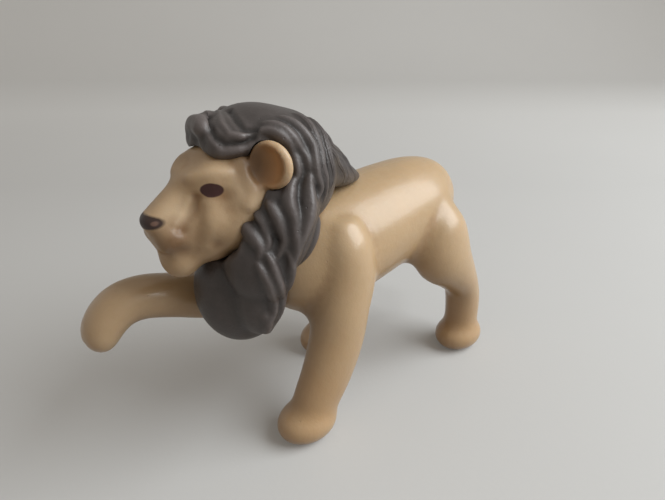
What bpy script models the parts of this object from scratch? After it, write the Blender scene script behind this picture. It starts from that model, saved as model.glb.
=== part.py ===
# Toy lion figure: a hard plastic play animal with one forepaw raised.
# Metres, +Z up. The lion faces -Y, its left side is +X, and its soles stand on z = 0.
# The trunk and legs are two hollow halves closed along the middle plane. They trap a turned neck
# post, on which the head and its mane turn, and the knob of the tail.
import math

import bmesh
import bpy
from mathutils import Matrix, Vector
from mathutils.bvhtree import BVHTree

# Fits shared by all pieces
FIT_GAP = 0.0003
CUT_OVERRUN = 0.004
MERGE_DISTANCE = 0.00001

# Where the whole figure stands: the middle of its length lies on the origin
FIGURE_SHIFT_Y = 0.0038

# Body
BODY_LENGTH = 0.0546
BODY_WIDTH = 0.0256
BACK_HEIGHT = 0.0514
CHEST_Y = -0.0200
BODY_WALL = 0.0022
BODY_VOXEL = 0.0008
BODY_BRIDGE = 0.0026
BODY_FACES = 3700

# Legs: the two on the left and the right hind leg stand, the right foreleg is raised.
# A shoulder lies behind the chest and a hip ahead of the rump's end, both below the back. A step
# is how far behind its shoulder or hip a foot stands.
LEG_WIDTH = 0.0092
STANCE_HALF_WIDTH = 0.0107
SHOULDER_X = 0.0078
SHOULDER_SETBACK = 0.0144
SHOULDER_DROP = 0.0054
HIP_X = 0.0075
HIP_SETBACK = 0.0086
HIP_DROP = 0.0074
LEFT_FRONT_STEP = -0.0118
LEFT_REAR_STEP = 0.0075
RIGHT_REAR_STEP = -0.0220
FOOT_LENGTH = 0.0140
FOOT_WIDTH = 0.0112
FOOT_HEIGHT = 0.0086
SOLE_DEPTH = 0.0008
REACH_X = 0.0116
REACH_LENGTH = 0.0418

# Seam between the halves: posts across the hollow, with a peg on the left and a socket on the right
POST_DIAMETER = 0.0060
PEG_DIAMETER = 0.0028
PEG_LENGTH = 0.0032
POST_PLACE_SHARES = (0.44, 0.80)
HOLLOW_PLACE_SHARES = (0.29, 0.37, 0.49, 0.64, 0.78, 0.86, 0.92)

# Neck: its axis lies in the middle plane and rises forward from a point behind the chest and
# below the back
NECK_SETBACK = 0.0140
NECK_DROP = 0.0138
NECK_SLOPE = math.radians(40)
BEARD_LEFT_TURN = math.radians(25)
BEARD_RIGHT_TURN = math.radians(10)
TURN_STEPS = 7
COLLAR_DIAMETER = 0.0150
COLLAR_REACH = 0.0155
COLLAR_ROOT = 0.0070
JOURNAL_DIAMETER = 0.0056
FLANGE_DIAMETER = 0.0100
FLANGE_THICKNESS = 0.0020
FLANGE_REACH = 0.0082
PLUG_DIAMETER = 0.0050
PLUG_LENGTH = 0.0060
POST_CHAMFER = 0.0004
TURN_GAP = 0.0006

# Head: its middle lies ahead of the neck's point and above it
HEAD_WIDTH = 0.0204
HEAD_LENGTH = 0.0280
HEAD_HEIGHT = 0.0240
HEAD_FORWARD = 0.0170
HEAD_RISE = 0.0155
HEAD_WALL = 0.0018
HEAD_VOXEL = 0.0006
HEAD_BRIDGE = 0.0028
HEAD_FACES = 1700
HEAD_HOLLOW_FACES = 360
HEAD_ROOM_FACES = 800
HEAD_RIM_SETBACK = 0.0016
SEAT_GAP = 0.0005
BOSS_DIAMETER = 0.0092
BOSS_LENGTH = 0.0130
EAR_DIAMETER = 0.0080
EAR_THICKNESS = 0.0034
EAR_X = 0.0104
EAR_SETBACK = 0.0002
EAR_RISE = 0.0071
EAR_TURN = math.radians(25)
EAR_LEAN = math.radians(12)
EAR_DISH_SHARE = 0.78
EAR_DISH_DEPTH_SHARE = 0.43
EAR_DISH_SHIFT_SHARE = 0.10

# Mane: its middle lies ahead of the neck's point and above it
MANE_WIDTH = 0.0320
MANE_DEPTH = 0.0360
MANE_HEIGHT = 0.0480
MANE_FORWARD = 0.0120
MANE_RISE = 0.0095
MANE_VOXEL = 0.0005
MANE_FACES = 5200
LOCK_WIDTH = 0.0031
LOCK_HEIGHT = 0.0028
BODY_CLEARANCE = 0.0009
SWEEP_VOXEL = 0.0012
SWEEP_FACES = 1600
STILL_FACES = 1400

# Tail
TAIL_DIAMETER = 0.0030
TAIL_DROP = 0.0170
TAIL_STAND_OFF = 0.0067
TAIL_ASIDE = 0.0050
TAIL_ROOT_DROP = 0.0024
TAIL_ROOT_GAP = 0.0008
KNOB_DIAMETER = 0.0054
KNOB_THICKNESS = 0.0016
TUFT_LENGTH = 0.0110
TUFT_DIAMETER = 0.0060
TUFT_SOCKET = 0.0040

RING_SIDES = 24
SCREW_STEPS = 24

# The exact solver can lose a thinned skin whose faces touch, and this one doesn't
SKIN_SOLVER = "MANIFOLD"

# Trunk sections, chest to rump: along the body, top and bottom of the back height, width
TRUNK_SHARES = [
    (0.000, 0.780, 0.640, 0.30),
    (0.052, 0.870, 0.545, 0.62),
    (0.165, 0.940, 0.465, 0.92),
    (0.308, 0.966, 0.475, 1.00),
    (0.488, 0.984, 0.512, 0.98),
    (0.636, 0.998, 0.545, 0.93),
    (0.780, 1.000, 0.560, 0.86),
    (0.882, 0.970, 0.585, 0.72),
    (0.954, 0.895, 0.640, 0.52),
    (1.000, 0.800, 0.700, 0.26),
]

# Leg sections: down to the floor, forward to the foot, out to the stance, side and deep thickness
STANDING_FORELEG_SHARES = [
    (0.01, 0.00, 0.00, 0.62, 0.72),
    (0.11, 0.02, 0.30, 1.12, 1.26),
    (0.26, 0.04, 0.60, 1.22, 1.42),
    (0.40, 0.18, 0.80, 1.18, 1.38),
    (0.55, 0.30, 0.92, 1.10, 1.37),
    (0.70, 0.52, 1.00, 1.02, 1.31),
    (0.82, 0.76, 1.00, 0.97, 1.20),
    (0.90, 0.91, 1.00, 0.96, 1.08),
]
REAR_LEG_SHARES = [
    (0.02, -0.35, 0.00, 0.60, 0.70),
    (0.14, -0.45, 0.45, 1.22, 1.50),
    (0.30, -0.40, 0.90, 1.30, 1.70),
    (0.43, 0.16, 1.15, 1.12, 1.22),
    (0.55, 0.70, 1.12, 0.98, 0.92),
    (0.67, 0.96, 1.05, 0.91, 1.00),
    (0.80, 1.05, 1.00, 0.88, 1.02),
    (0.91, 1.02, 1.00, 0.92, 0.96),
]
STEPPING_LEG_SHARES = [
    (0.02, 0.00, 0.00, 0.60, 0.90),
    (0.14, 0.12, 0.30, 1.26, 1.75),
    (0.30, 0.34, 0.60, 1.32, 1.60),
    (0.46, 0.60, 0.80, 1.14, 1.25),
    (0.60, 0.80, 0.92, 0.98, 1.02),
    (0.74, 0.92, 1.00, 0.90, 0.92),
    (0.84, 0.96, 1.00, 0.90, 0.92),
    (0.91, 0.98, 1.00, 0.92, 0.94),
]
# Raised foreleg: along its reach, height, side and deep thickness
RAISED_FORELEG_SHARES = [
    (0.00, 0.88, 0.80, 1.10),
    (0.15, 0.74, 1.20, 1.45),
    (0.32, 0.62, 1.15, 1.30),
    (0.50, 0.62, 1.04, 1.12),
    (0.68, 0.67, 0.98, 1.00),
    (0.82, 0.705, 1.00, 0.94),
    (0.92, 0.70, 1.04, 0.88),
    (0.99, 0.655, 1.06, 0.84),
    (1.03, 0.605, 1.04, 0.78),
]
# Ball of the raised paw: along the reach, height, half sizes of the leg's width
PAW_BALL_SHARES = (1.035, 0.600, 0.50, 0.36, 0.42)

# Head forms: place from the head's middle, then half sizes, all of the head's three sizes
HEAD_MIDDLE_SHARES = [
    (0.00, 0.00, 0.03, 0.50, 0.37, 0.40),
    (0.00, -0.17, 0.17, 0.37, 0.25, 0.22),
    (0.00, -0.40, -0.17, 0.25, 0.22, 0.20),
    (0.00, -0.58, -0.06, 0.13, 0.08, 0.08),
    (0.00, -0.45, -0.36, 0.18, 0.13, 0.18),
    (0.00, -0.25, -0.26, 0.29, 0.22, 0.20),
]
HEAD_SIDE_SHARES = [
    (0.22, -0.14, -0.10, 0.22, 0.24, 0.25),
    (0.11, -0.52, -0.17, 0.14, 0.10, 0.11),
    (0.17, -0.28, 0.21, 0.14, 0.08, 0.06),
]
# Bridge of the nose: along the head, up, half width, half height
NOSE_SHARES = [
    (-0.20, 0.20, 0.20, 0.11),
    (-0.32, 0.135, 0.17, 0.11),
    (-0.46, 0.045, 0.14, 0.085),
    (-0.57, -0.030, 0.13, 0.065),
]

# Mane forms: place from the mane's middle, half sizes, of its three sizes; backward tilt in degrees
MANE_MIDDLE_SHARES = [
    (0.00, 0.08, 0.18, 0.40, 0.275, 0.235, 0),
    (0.00, -0.05, 0.02, 0.470, 0.19, 0.32, 26),
    (0.00, -0.17, -0.265, 0.26, 0.265, 0.245, 0),
]
MANE_SIDE_SHARES = [
    (0.23, -0.17, -0.08, 0.20, 0.18, 0.18, 10),
    (0.28, -0.06, 0.08, 0.15, 0.16, 0.16, 10),
    (0.24, -0.19, -0.23, 0.12, 0.13, 0.18, 0),
]
# Forelock over the brow: along the mane's depth, up its height, half width, half height
FORELOCK_SHARES = [
    (0.12, 0.28, 0.34, 0.13),
    (-0.03, 0.340, 0.32, 0.100),
    (-0.15, 0.340, 0.27, 0.077),
    (-0.26, 0.325, 0.22, 0.070),
    (-0.335, 0.315, 0.13, 0.045),
]
# Cape over the withers: along the mane's depth, up its height, half width, half height
CAPE_SHARES = [
    (0.05, 0.26, 0.34, 0.13),
    (0.25, 0.19, 0.28, 0.11),
    (0.42, 0.13, 0.20, 0.075),
    (0.55, 0.090, 0.12, 0.042),
    (0.63, 0.072, 0.05, 0.020),
]

# Locks of one side: width share, then the way each runs, as turn from the face and rise in degrees
LOCKS = [
    (0.8, ((53, 62), (66, 63), (78, 60), (86, 56), (88, 49), (86, 42), (79, 35))),
    (0.8, ((58, 67), (77, 64), (89, 58), (96, 52), (97, 45), (96, 38))),
    (1.0, ((97, 43), (94, 36), (91, 27), (88, 19), (83, 10), (79, 0), (78, -11))),
    (0.8, ((82, 71), (97, 66), (103, 59), (106, 53), (103, 46), (102, 39), (104, 31), (95, 21))),
    (0.75, ((125, 73), (121, 65), (114, 57), (111, 49), (108, 42), (110, 34), (110, 22))),
    (0.65, ((146, 66), (134, 57), (124, 50), (120, 42), (121, 34), (117, 28))),
    (0.6, ((150, 61), (146, 51), (168, 32), (162, 25), (165, 17))),
    (0.6, ((124, 53), (130, 46), (145, 35), (153, 23))),
    (0.95, ((86, 44), (78, 36), (75, 28), (77, 18), (77, 9), (77, -1), (75, -11), (72, -21))),
    (0.85, ((60, 32), (65, 23), (68, 14), (70, 5), (67, -2), (63, -8))),
    (0.75, ((49, 27), (56, 18), (58, 10), (59, 3), (56, -3))),
    (1.0, ((38, 19), (47, 11), (52, 5), (54, 0), (52, -6))),
    (0.7, ((69, 1), (73, -8), (74, -21), (73, -34), (71, -46), (66, -56))),
    (0.75, ((56, 0), (60, -7), (62, -16), (65, -29), (68, -46), (67, -52), (62, -56))),
    (0.75, ((51, -6), (55, -14), (58, -22), (60, -37), (60, -45), (56, -50), (51, -57))),
    (1.5, ((43, -7), (47, -15), (50, -25), (49, -37), (43, -45))),
    (1.3, ((45, 58), (36, 55), (24, 53), (11, 53), (3, 56))),
    (1.1, ((63, 67), (45, 63), (32, 59), (19, 60), (10, 62))),
    (0.8, ((102, 73), (66, 72), (42, 69), (26, 66))),
]
LOCK_TAPER_SHARES = (0.35, 0.85, 1.0, 0.95, 0.75, 0.25)
LOCK_POINTS = 9

# Tail outside the rump: back by the stand-off, down by the drop, aside to the right
TAIL_SHARES = [
    (0.00, 0.00, 0.00), (0.20, 0.02, 0.10), (0.35, 0.08, 0.24), (0.46, 0.20, 0.42),
    (0.56, 0.38, 0.64), (0.70, 0.60, 0.82), (0.85, 0.82, 0.94), (1.00, 1.00, 1.00),
]
# Tuft: radius of its greatest, down its length
TUFT_SHARES = [(0.72, 0.00), (0.95, 0.12), (1.00, 0.30), (0.86, 0.52), (0.58, 0.74), (0.25, 0.93)]

COLOURS = {
    "body": (0.62, 0.50, 0.34),
    "face": (0.66, 0.56, 0.40),
    "mane": (0.105, 0.095, 0.090),
    "post": (0.55, 0.54, 0.52),
}


# Scene and helpers

def clear_scene():
    for obj in list(bpy.data.objects):
        bpy.data.objects.remove(obj, do_unlink=True)


def make_collection(name):
    collection = bpy.data.collections.new(name)
    bpy.context.scene.collection.children.link(collection)
    return collection


def make_material(name, colour, roughness, metallic=0.0):
    material = bpy.data.materials.new(name)
    material.use_nodes = True
    shader = material.node_tree.nodes["Principled BSDF"]
    shader.inputs["Base Color"].default_value = (*colour, 1.0)
    shader.inputs["Roughness"].default_value = roughness
    shader.inputs["Metallic"].default_value = metallic
    material.diffuse_color = (*colour, 1.0)
    return material


def as_object(name, mesh, collection):
    obj = bpy.data.objects.new(name, mesh)
    collection.objects.link(obj)
    return obj


def bm_object(name, bm, collection):
    bmesh.ops.recalc_face_normals(bm, faces=bm.faces)
    mesh = bpy.data.meshes.new(name)
    bm.to_mesh(mesh)
    bm.free()
    return as_object(name, mesh, collection)


def hide_as_tool(obj):
    obj.hide_render = True
    obj.display_type = "WIRE"
    return obj


def solid_mesh(obj):
    # The object's mesh with its modifiers, in world space
    bpy.context.view_layer.update()
    graph = bpy.context.evaluated_depsgraph_get()
    mesh = bpy.data.meshes.new_from_object(obj.evaluated_get(graph))
    mesh.transform(obj.matrix_world)
    return mesh


def add_boolean(obj, tool, operation, solver="EXACT"):
    modifier = obj.modifiers.new(operation.title(), "BOOLEAN")
    modifier.operation = operation
    modifier.solver = solver
    modifier.object = tool
    return modifier


def add_skin(obj, voxel, smooth_steps, swell=0.0):
    # Overlapping forms become one smooth skin, moved out by the swell
    remesh = obj.modifiers.new("Skin", "REMESH")
    remesh.mode = "VOXEL"
    remesh.voxel_size = voxel
    smooth = obj.modifiers.new("Smooth", "SMOOTH")
    smooth.factor = 0.5
    smooth.iterations = smooth_steps
    if swell:
        move = obj.modifiers.new("Swell", "DISPLACE")
        move.strength = swell
        move.mid_level = 0.0


def soften(obj, voxel, smooth_steps, faces, bridge=0.0):
    # One skin over the forms, with the creases between them filled by swelling and shrinking,
    # smoothed and then thinned to a face count
    if bridge:
        add_skin(obj, voxel, 1, bridge)
        add_skin(obj, voxel, 2, -bridge)
    add_skin(obj, voxel, smooth_steps)
    skin = solid_mesh(obj)
    thin = obj.modifiers.new("Thin", "DECIMATE")
    thin.ratio = min(1.0, faces / (2 * len(skin.polygons)))
    bpy.data.meshes.remove(skin)
    return obj


# Forms

def add_ring(bm, centre, along, side, half_side, half_deep):
    side = (side - along * side.dot(along)).normalized()
    deep = along.cross(side)
    ring = []
    for step in range(RING_SIDES):
        angle = 2 * math.pi * step / RING_SIDES
        offset = side * (half_side * math.cos(angle)) + deep * (half_deep * math.sin(angle))
        ring.append(bm.verts.new(centre + offset))
    return ring


def add_loft(bm, sections, grow=0.0, sides=None):
    # Sections are (centre, half side, half deep); the rings stand square to the line of centres
    rings = []
    for index, (centre, half_side, half_deep) in enumerate(sections):
        before = sections[max(index - 1, 0)][0]
        after = sections[min(index + 1, len(sections) - 1)][0]
        along = (after - before).normalized()
        side = sides[index] if sides else Vector((1.0, 0.0, 0.0))
        rings.append(add_ring(bm, centre, along, side, half_side + grow, half_deep + grow))
    for first, second in zip(rings, rings[1:]):
        for step in range(RING_SIDES):
            following = (step + 1) % RING_SIDES
            bm.faces.new((first[step], first[following], second[following], second[step]))
    bm.faces.new(reversed(rings[0]))
    bm.faces.new(rings[-1])


def add_ellipsoid(bm, centre, half_sizes, turn=None, grow=0.0):
    scale = Matrix.Diagonal((*[half + grow for half in half_sizes], 1.0))
    place = Matrix.Translation(centre) @ (turn or Matrix()) @ scale
    bmesh.ops.create_uvsphere(bm, u_segments=RING_SIDES, v_segments=RING_SIDES // 2,
                              radius=1.0, matrix=place)


def add_cylinder(bm, start, end, diameter):
    axis = end - start
    turn = axis.to_track_quat("Z", "Y").to_matrix().to_4x4()
    bmesh.ops.create_cone(bm, cap_ends=True, segments=RING_SIDES, radius1=diameter / 2,
                          radius2=diameter / 2, depth=axis.length,
                          matrix=Matrix.Translation((start + end) / 2) @ turn)


def add_box(bm, low, high):
    size = high - low
    bmesh.ops.create_cube(bm, size=1.0, matrix=Matrix.Translation((low + high) / 2)
                          @ Matrix.Diagonal((*size, 1.0)))


def make_turned(name, profile, place, collection):
    # Profile points are (radius, height), from the top down the outer side
    mesh = bpy.data.meshes.new(name)
    points = [(radius, 0.0, height) for radius, height in profile]
    mesh.from_pydata(points, [(index, index + 1) for index in range(len(points) - 1)], [])
    obj = as_object(name, mesh, collection)
    obj.matrix_world = place
    screw = obj.modifiers.new("Turn", "SCREW")
    screw.steps = screw.render_steps = SCREW_STEPS
    screw.use_merge_vertices = True
    screw.merge_threshold = MERGE_DISTANCE
    return obj


def finish_piece(obj, material):
    # Round surfaces are shaded smooth between their real edges
    obj.data.shade_smooth()
    obj.data.set_sharp_from_angle(angle=math.radians(35))
    obj.data.materials.clear()
    obj.data.materials.append(material)
    return obj


def figure_point(x, y, z):
    return Vector((x, y + FIGURE_SHIFT_Y, z))


def neck_direction():
    return Vector((0.0, -math.cos(NECK_SLOPE), math.sin(NECK_SLOPE)))


def neck_point(reach):
    root = figure_point(0.0, CHEST_Y + NECK_SETBACK, BACK_HEIGHT - NECK_DROP)
    return root + neck_direction() * reach


def neck_matrix():
    turn = neck_direction().to_track_quat("Z", "Y").to_matrix().to_4x4()
    return Matrix.Translation(neck_point(0.0)) @ turn


# Body

def trunk_sections():
    sections = []
    for along, top, bottom, width in TRUNK_SHARES:
        centre = figure_point(0.0, CHEST_Y + along * BODY_LENGTH, BACK_HEIGHT * (top + bottom) / 2)
        sections.append((centre, BODY_WIDTH * width / 2, BACK_HEIGHT * (top - bottom) / 2))
    return sections


def shoulder_place():
    return SHOULDER_X, CHEST_Y + SHOULDER_SETBACK, BACK_HEIGHT - SHOULDER_DROP


def hip_place():
    return HIP_X, CHEST_Y + BODY_LENGTH - HIP_SETBACK, BACK_HEIGHT - HIP_DROP


def leg_sections(shares, side, start, step):
    start_x, start_y, start_z = start
    sections = []
    for down, stride, out, thick_side, thick_deep in shares:
        x = start_x + out * (STANCE_HALF_WIDTH - start_x)
        y = start_y + stride * step
        sections.append((figure_point(side * x, y, start_z * (1 - down)),
                         LEG_WIDTH * thick_side / 2, LEG_WIDTH * thick_deep / 2))
    return sections


def reach_point(along, height):
    # A place on the raised foreleg's way from the shoulder to the paw
    shoulder_x, shoulder_y, shoulder_z = shoulder_place()
    x = -shoulder_x - along * (REACH_X - shoulder_x)
    return figure_point(x, shoulder_y - along * REACH_LENGTH, shoulder_z * height)


def raised_sections():
    return [(reach_point(along, height), LEG_WIDTH * thick_side / 2, LEG_WIDTH * thick_deep / 2)
            for along, height, thick_side, thick_deep in RAISED_FORELEG_SHARES]


def add_foot(bm, side, start, step):
    # A ball that reaches below the floor, where the sole is cut flat
    centre = figure_point(side * STANCE_HALF_WIDTH, start[1] + step, FOOT_HEIGHT / 2 - SOLE_DEPTH)
    add_ellipsoid(bm, centre, (FOOT_WIDTH / 2, FOOT_LENGTH / 2, FOOT_HEIGHT / 2))


def add_raised_paw(bm):
    along, height, half_x, half_y, half_z = PAW_BALL_SHARES
    add_ellipsoid(bm, reach_point(along, height),
                  (LEG_WIDTH * half_x, LEG_WIDTH * half_y, LEG_WIDTH * half_z))


def make_body_form(tools):
    bm = bmesh.new()
    add_loft(bm, trunk_sections())
    for shares, side, start, step in ((STANDING_FORELEG_SHARES, 1, shoulder_place(), LEFT_FRONT_STEP),
                                      (REAR_LEG_SHARES, 1, hip_place(), LEFT_REAR_STEP),
                                      (STEPPING_LEG_SHARES, -1, hip_place(), RIGHT_REAR_STEP)):
        add_loft(bm, leg_sections(shares, side, start, step))
        add_foot(bm, side, start, step)
    add_loft(bm, raised_sections())
    add_raised_paw(bm)
    form = hide_as_tool(bm_object("body_form", bm, tools))
    soften(form, BODY_VOXEL, 6, BODY_FACES, BODY_BRIDGE)
    add_boolean(form, make_collar(tools), "UNION", SKIN_SOLVER)
    add_boolean(form, make_neck_bore(tools), "DIFFERENCE", SKIN_SOLVER)
    add_boolean(form, make_tail_bore(tools), "DIFFERENCE", SKIN_SOLVER)
    return form


def make_collar(tools):
    bm = bmesh.new()
    add_cylinder(bm, neck_point(COLLAR_ROOT), neck_point(COLLAR_REACH), COLLAR_DIAMETER)
    return hide_as_tool(bm_object("neck_collar", bm, tools))


def make_neck_bore(tools):
    journal = JOURNAL_DIAMETER / 2 + FIT_GAP
    flange = FLANGE_DIAMETER / 2 + FIT_GAP
    top = COLLAR_REACH + CUT_OVERRUN
    pocket_top = FLANGE_REACH + FLANGE_THICKNESS + FIT_GAP
    pocket_floor = FLANGE_REACH - FIT_GAP
    profile = [(0.0, top), (journal, top), (journal, pocket_top), (flange, pocket_top),
               (flange, pocket_floor), (0.0, pocket_floor)]
    return hide_as_tool(make_turned("neck_bore", profile, neck_matrix(), tools))


def make_tail_bore(tools):
    # Through the rump's wall, and on outside it where the tail bends down
    bm = bmesh.new()
    outward = Vector((0.0, CUT_OVERRUN, 0.0))
    add_cylinder(bm, tail_root() - outward, tail_point(TAIL_SHARES[0]) + outward,
                 TAIL_DIAMETER + 2 * FIT_GAP)
    return hide_as_tool(bm_object("tail_bore", bm, tools))


def trunk_section_at(place):
    rows = TRUNK_SHARES
    for before, after in zip(rows, rows[1:]):
        if before[0] <= place <= after[0]:
            part = (place - before[0]) / (after[0] - before[0])
            top, bottom, width = (low + part * (high - low)
                                  for low, high in zip(before[1:], after[1:]))
            break
    centre = figure_point(0.0, CHEST_Y + place * BODY_LENGTH, BACK_HEIGHT * (top + bottom) / 2)
    return centre, BODY_WIDTH * width / 2, BACK_HEIGHT * (top - bottom) / 2


def make_trunk_hollow(tools):
    # The hollow leaves a post across each half at every peg
    bm = bmesh.new()
    add_loft(bm, [trunk_section_at(place) for place in HOLLOW_PLACE_SHARES], -BODY_WALL)
    hollow = hide_as_tool(bm_object("trunk_hollow", bm, tools))
    bm = bmesh.new()
    for place in POST_PLACE_SHARES:
        centre = trunk_section_at(place)[0]
        reach = Vector((BODY_WIDTH / 2, 0.0, 0.0))
        add_cylinder(bm, centre - reach, centre + reach, POST_DIAMETER)
    posts = hide_as_tool(bm_object("hollow_posts", bm, tools))
    add_boolean(hollow, posts, "DIFFERENCE")
    return hollow


def make_pegs(name, length, diameter, tools):
    # Rods across the seam, from inside the left half's posts into the right half's
    bm = bmesh.new()
    for place in POST_PLACE_SHARES:
        centre = trunk_section_at(place)[0]
        start = centre + Vector((CUT_OVERRUN, 0.0, 0.0))
        add_cylinder(bm, start, centre - Vector((length, 0.0, 0.0)), diameter)
    return hide_as_tool(bm_object(name, bm, tools))


def make_half(name, side, form, hollow, parts, tools, material):
    half = as_object(name, solid_mesh(form), parts)
    bm = bmesh.new()
    inner = side * FIT_GAP / 2
    outer = side * BODY_WIDTH
    add_box(bm, Vector((min(inner, outer), -BODY_LENGTH, 0.0)),
            Vector((max(inner, outer), BODY_LENGTH, 2 * BACK_HEIGHT)))
    block = hide_as_tool(bm_object(name + "_block", bm, tools))
    add_boolean(half, block, "INTERSECT", SKIN_SOLVER)
    add_boolean(half, hollow, "DIFFERENCE", SKIN_SOLVER)
    if side > 0:
        pegs = make_pegs("seam_pegs", PEG_LENGTH, PEG_DIAMETER, tools)
        add_boolean(half, pegs, "UNION", SKIN_SOLVER)
    else:
        sockets = make_pegs("seam_sockets", PEG_LENGTH + FIT_GAP, PEG_DIAMETER + 2 * FIT_GAP, tools)
        add_boolean(half, sockets, "DIFFERENCE", SKIN_SOLVER)
    return finish_piece(half, material)


# Tail

def tail_root():
    # The knob's outer face, just inside the end of the hollow
    return trunk_section_at(HOLLOW_PLACE_SHARES[-1])[0] - Vector((0.0, TAIL_ROOT_GAP, TAIL_ROOT_DROP))


def tail_point(row):
    back, down, aside = row
    rump_y = CHEST_Y + BODY_LENGTH + FIGURE_SHIFT_Y
    return Vector((-aside * TAIL_ASIDE, rump_y + back * TAIL_STAND_OFF,
                   tail_root().z - down * TAIL_DROP))


def make_tail(parts, tools, material):
    curve = bpy.data.curves.new("tail_line", "CURVE")
    curve.dimensions = "3D"
    curve.bevel_depth = TAIL_DIAMETER / 2
    curve.bevel_resolution = 2
    curve.use_fill_caps = True
    spline = curve.splines.new("POLY")
    way = [tail_root() - Vector((0.0, KNOB_THICKNESS / 2, 0.0))]
    way += [tail_point(row) for row in TAIL_SHARES]
    spline.points.add(len(way) - 1)
    for point, place in zip(spline.points, way):
        point.co = (*place, 1.0)
    line = as_object("tail_line", curve, tools)
    tail = as_object("tail", solid_mesh(line), parts)
    bpy.data.objects.remove(line)
    bm = bmesh.new()
    bm.from_mesh(tail.data)
    bmesh.ops.remove_doubles(bm, verts=bm.verts, dist=MERGE_DISTANCE)
    bm.to_mesh(tail.data)
    bm.free()
    bm = bmesh.new()
    add_cylinder(bm, tail_root() - Vector((0.0, KNOB_THICKNESS, 0.0)), tail_root(), KNOB_DIAMETER)
    add_boolean(tail, hide_as_tool(bm_object("tail_knob", bm, tools)), "UNION")
    return finish_piece(tail, material)


def make_tuft(parts, material):
    end, before = tail_point(TAIL_SHARES[-1]), tail_point(TAIL_SHARES[-2])
    direction = (before - end).normalized()
    turn = direction.to_track_quat("Z", "Y").to_matrix().to_4x4()
    place = Matrix.Translation(end + direction * (TUFT_SOCKET - FIT_GAP)) @ turn
    bore = TAIL_DIAMETER / 2 + FIT_GAP
    profile = [(0.0, -TUFT_SOCKET), (bore, -TUFT_SOCKET), (bore, 0.0)]
    profile += [(radius * TUFT_DIAMETER / 2, -down * TUFT_LENGTH) for radius, down in TUFT_SHARES]
    profile.append((0.0, -TUFT_LENGTH))
    return finish_piece(make_turned("tail_tuft", profile, place, parts), material)


# Neck post

def make_neck_post(parts, material):
    plug = PLUG_DIAMETER / 2
    journal = JOURNAL_DIAMETER / 2
    shoulder = COLLAR_REACH + TURN_GAP - FIT_GAP
    top = shoulder + PLUG_LENGTH
    flange_top = FLANGE_REACH + FLANGE_THICKNESS
    profile = [(0.0, top), (plug - POST_CHAMFER, top), (plug, top - POST_CHAMFER), (plug, shoulder),
               (journal, shoulder), (journal, flange_top), (FLANGE_DIAMETER / 2, flange_top),
               (FLANGE_DIAMETER / 2, FLANGE_REACH), (0.0, FLANGE_REACH)]
    return finish_piece(make_turned("neck_post", profile, neck_matrix(), parts), material)


# Head

def head_point(x, y, z):
    return neck_point(0.0) + Vector((x, y - HEAD_FORWARD, z + HEAD_RISE))


def head_place(shares):
    x, y, z = shares
    return head_point(x * HEAD_WIDTH, y * HEAD_LENGTH, z * HEAD_HEIGHT)


def head_half(shares):
    x, y, z = shares
    return (x * HEAD_WIDTH, y * HEAD_LENGTH, z * HEAD_HEIGHT)


def add_head_forms(bm, grow=0.0):
    for row in HEAD_MIDDLE_SHARES:
        add_ellipsoid(bm, head_place(row[:3]), head_half(row[3:]), grow=grow)
    for side in (-1, 1):
        for row in HEAD_SIDE_SHARES:
            add_ellipsoid(bm, head_place((side * row[0], row[1], row[2])), head_half(row[3:]), grow=grow)
    sections = [(head_place((0.0, along, up)), half_width * HEAD_WIDTH, half_height * HEAD_HEIGHT)
                for along, up, half_width, half_height in NOSE_SHARES]
    add_loft(bm, sections, grow)


def ear_matrix(side):
    turn = Matrix.Rotation(side * EAR_TURN, 4, "Z") @ Matrix.Rotation(side * EAR_LEAN, 4, "Y")
    return Matrix.Translation(head_point(side * EAR_X, EAR_SETBACK, EAR_RISE)) @ turn


def add_ear(bm, side):
    # A thick round ear: a flattened ball whose dish is cut afterwards
    half = (EAR_DIAMETER / 2, EAR_THICKNESS / 2, EAR_DIAMETER / 2)
    bmesh.ops.create_uvsphere(bm, u_segments=RING_SIDES, v_segments=RING_SIDES // 2, radius=1.0,
                              matrix=ear_matrix(side) @ Matrix.Diagonal((*half, 1.0)))


def make_head_form(tools):
    bm = bmesh.new()
    add_head_forms(bm)
    form = hide_as_tool(bm_object("head_form", bm, tools))
    soften(form, HEAD_VOXEL, 4, HEAD_FACES, HEAD_BRIDGE)
    bm = bmesh.new()
    for side in (-1, 1):
        add_ear(bm, side)
    add_boolean(form, hide_as_tool(bm_object("ears", bm, tools)), "UNION", SKIN_SOLVER)
    return form


def make_ear_dishes(tools):
    bm = bmesh.new()
    for side in (-1, 1):
        half = (EAR_DIAMETER * EAR_DISH_SHARE / 2, EAR_THICKNESS / 2, EAR_DIAMETER * EAR_DISH_SHARE / 2)
        shift = Matrix.Translation((-side * EAR_DIAMETER * EAR_DISH_SHIFT_SHARE,
                                    -EAR_THICKNESS * EAR_DISH_DEPTH_SHARE, 0.0))
        bmesh.ops.create_uvsphere(bm, u_segments=RING_SIDES, v_segments=RING_SIDES // 2, radius=1.0,
                                  matrix=ear_matrix(side) @ shift @ Matrix.Diagonal((*half, 1.0)))
    return hide_as_tool(bm_object("ear_dishes", bm, tools))


def make_head_hollow(tools):
    bm = bmesh.new()
    add_head_forms(bm, -HEAD_WALL)
    hollow = hide_as_tool(bm_object("head_hollow", bm, tools))
    return soften(hollow, HEAD_VOXEL, 6, HEAD_HOLLOW_FACES)


def make_neck_cylinder(name, start, end, diameter, tools):
    bm = bmesh.new()
    add_cylinder(bm, neck_point(start), neck_point(end), diameter)
    return hide_as_tool(bm_object(name, bm, tools))


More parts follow.
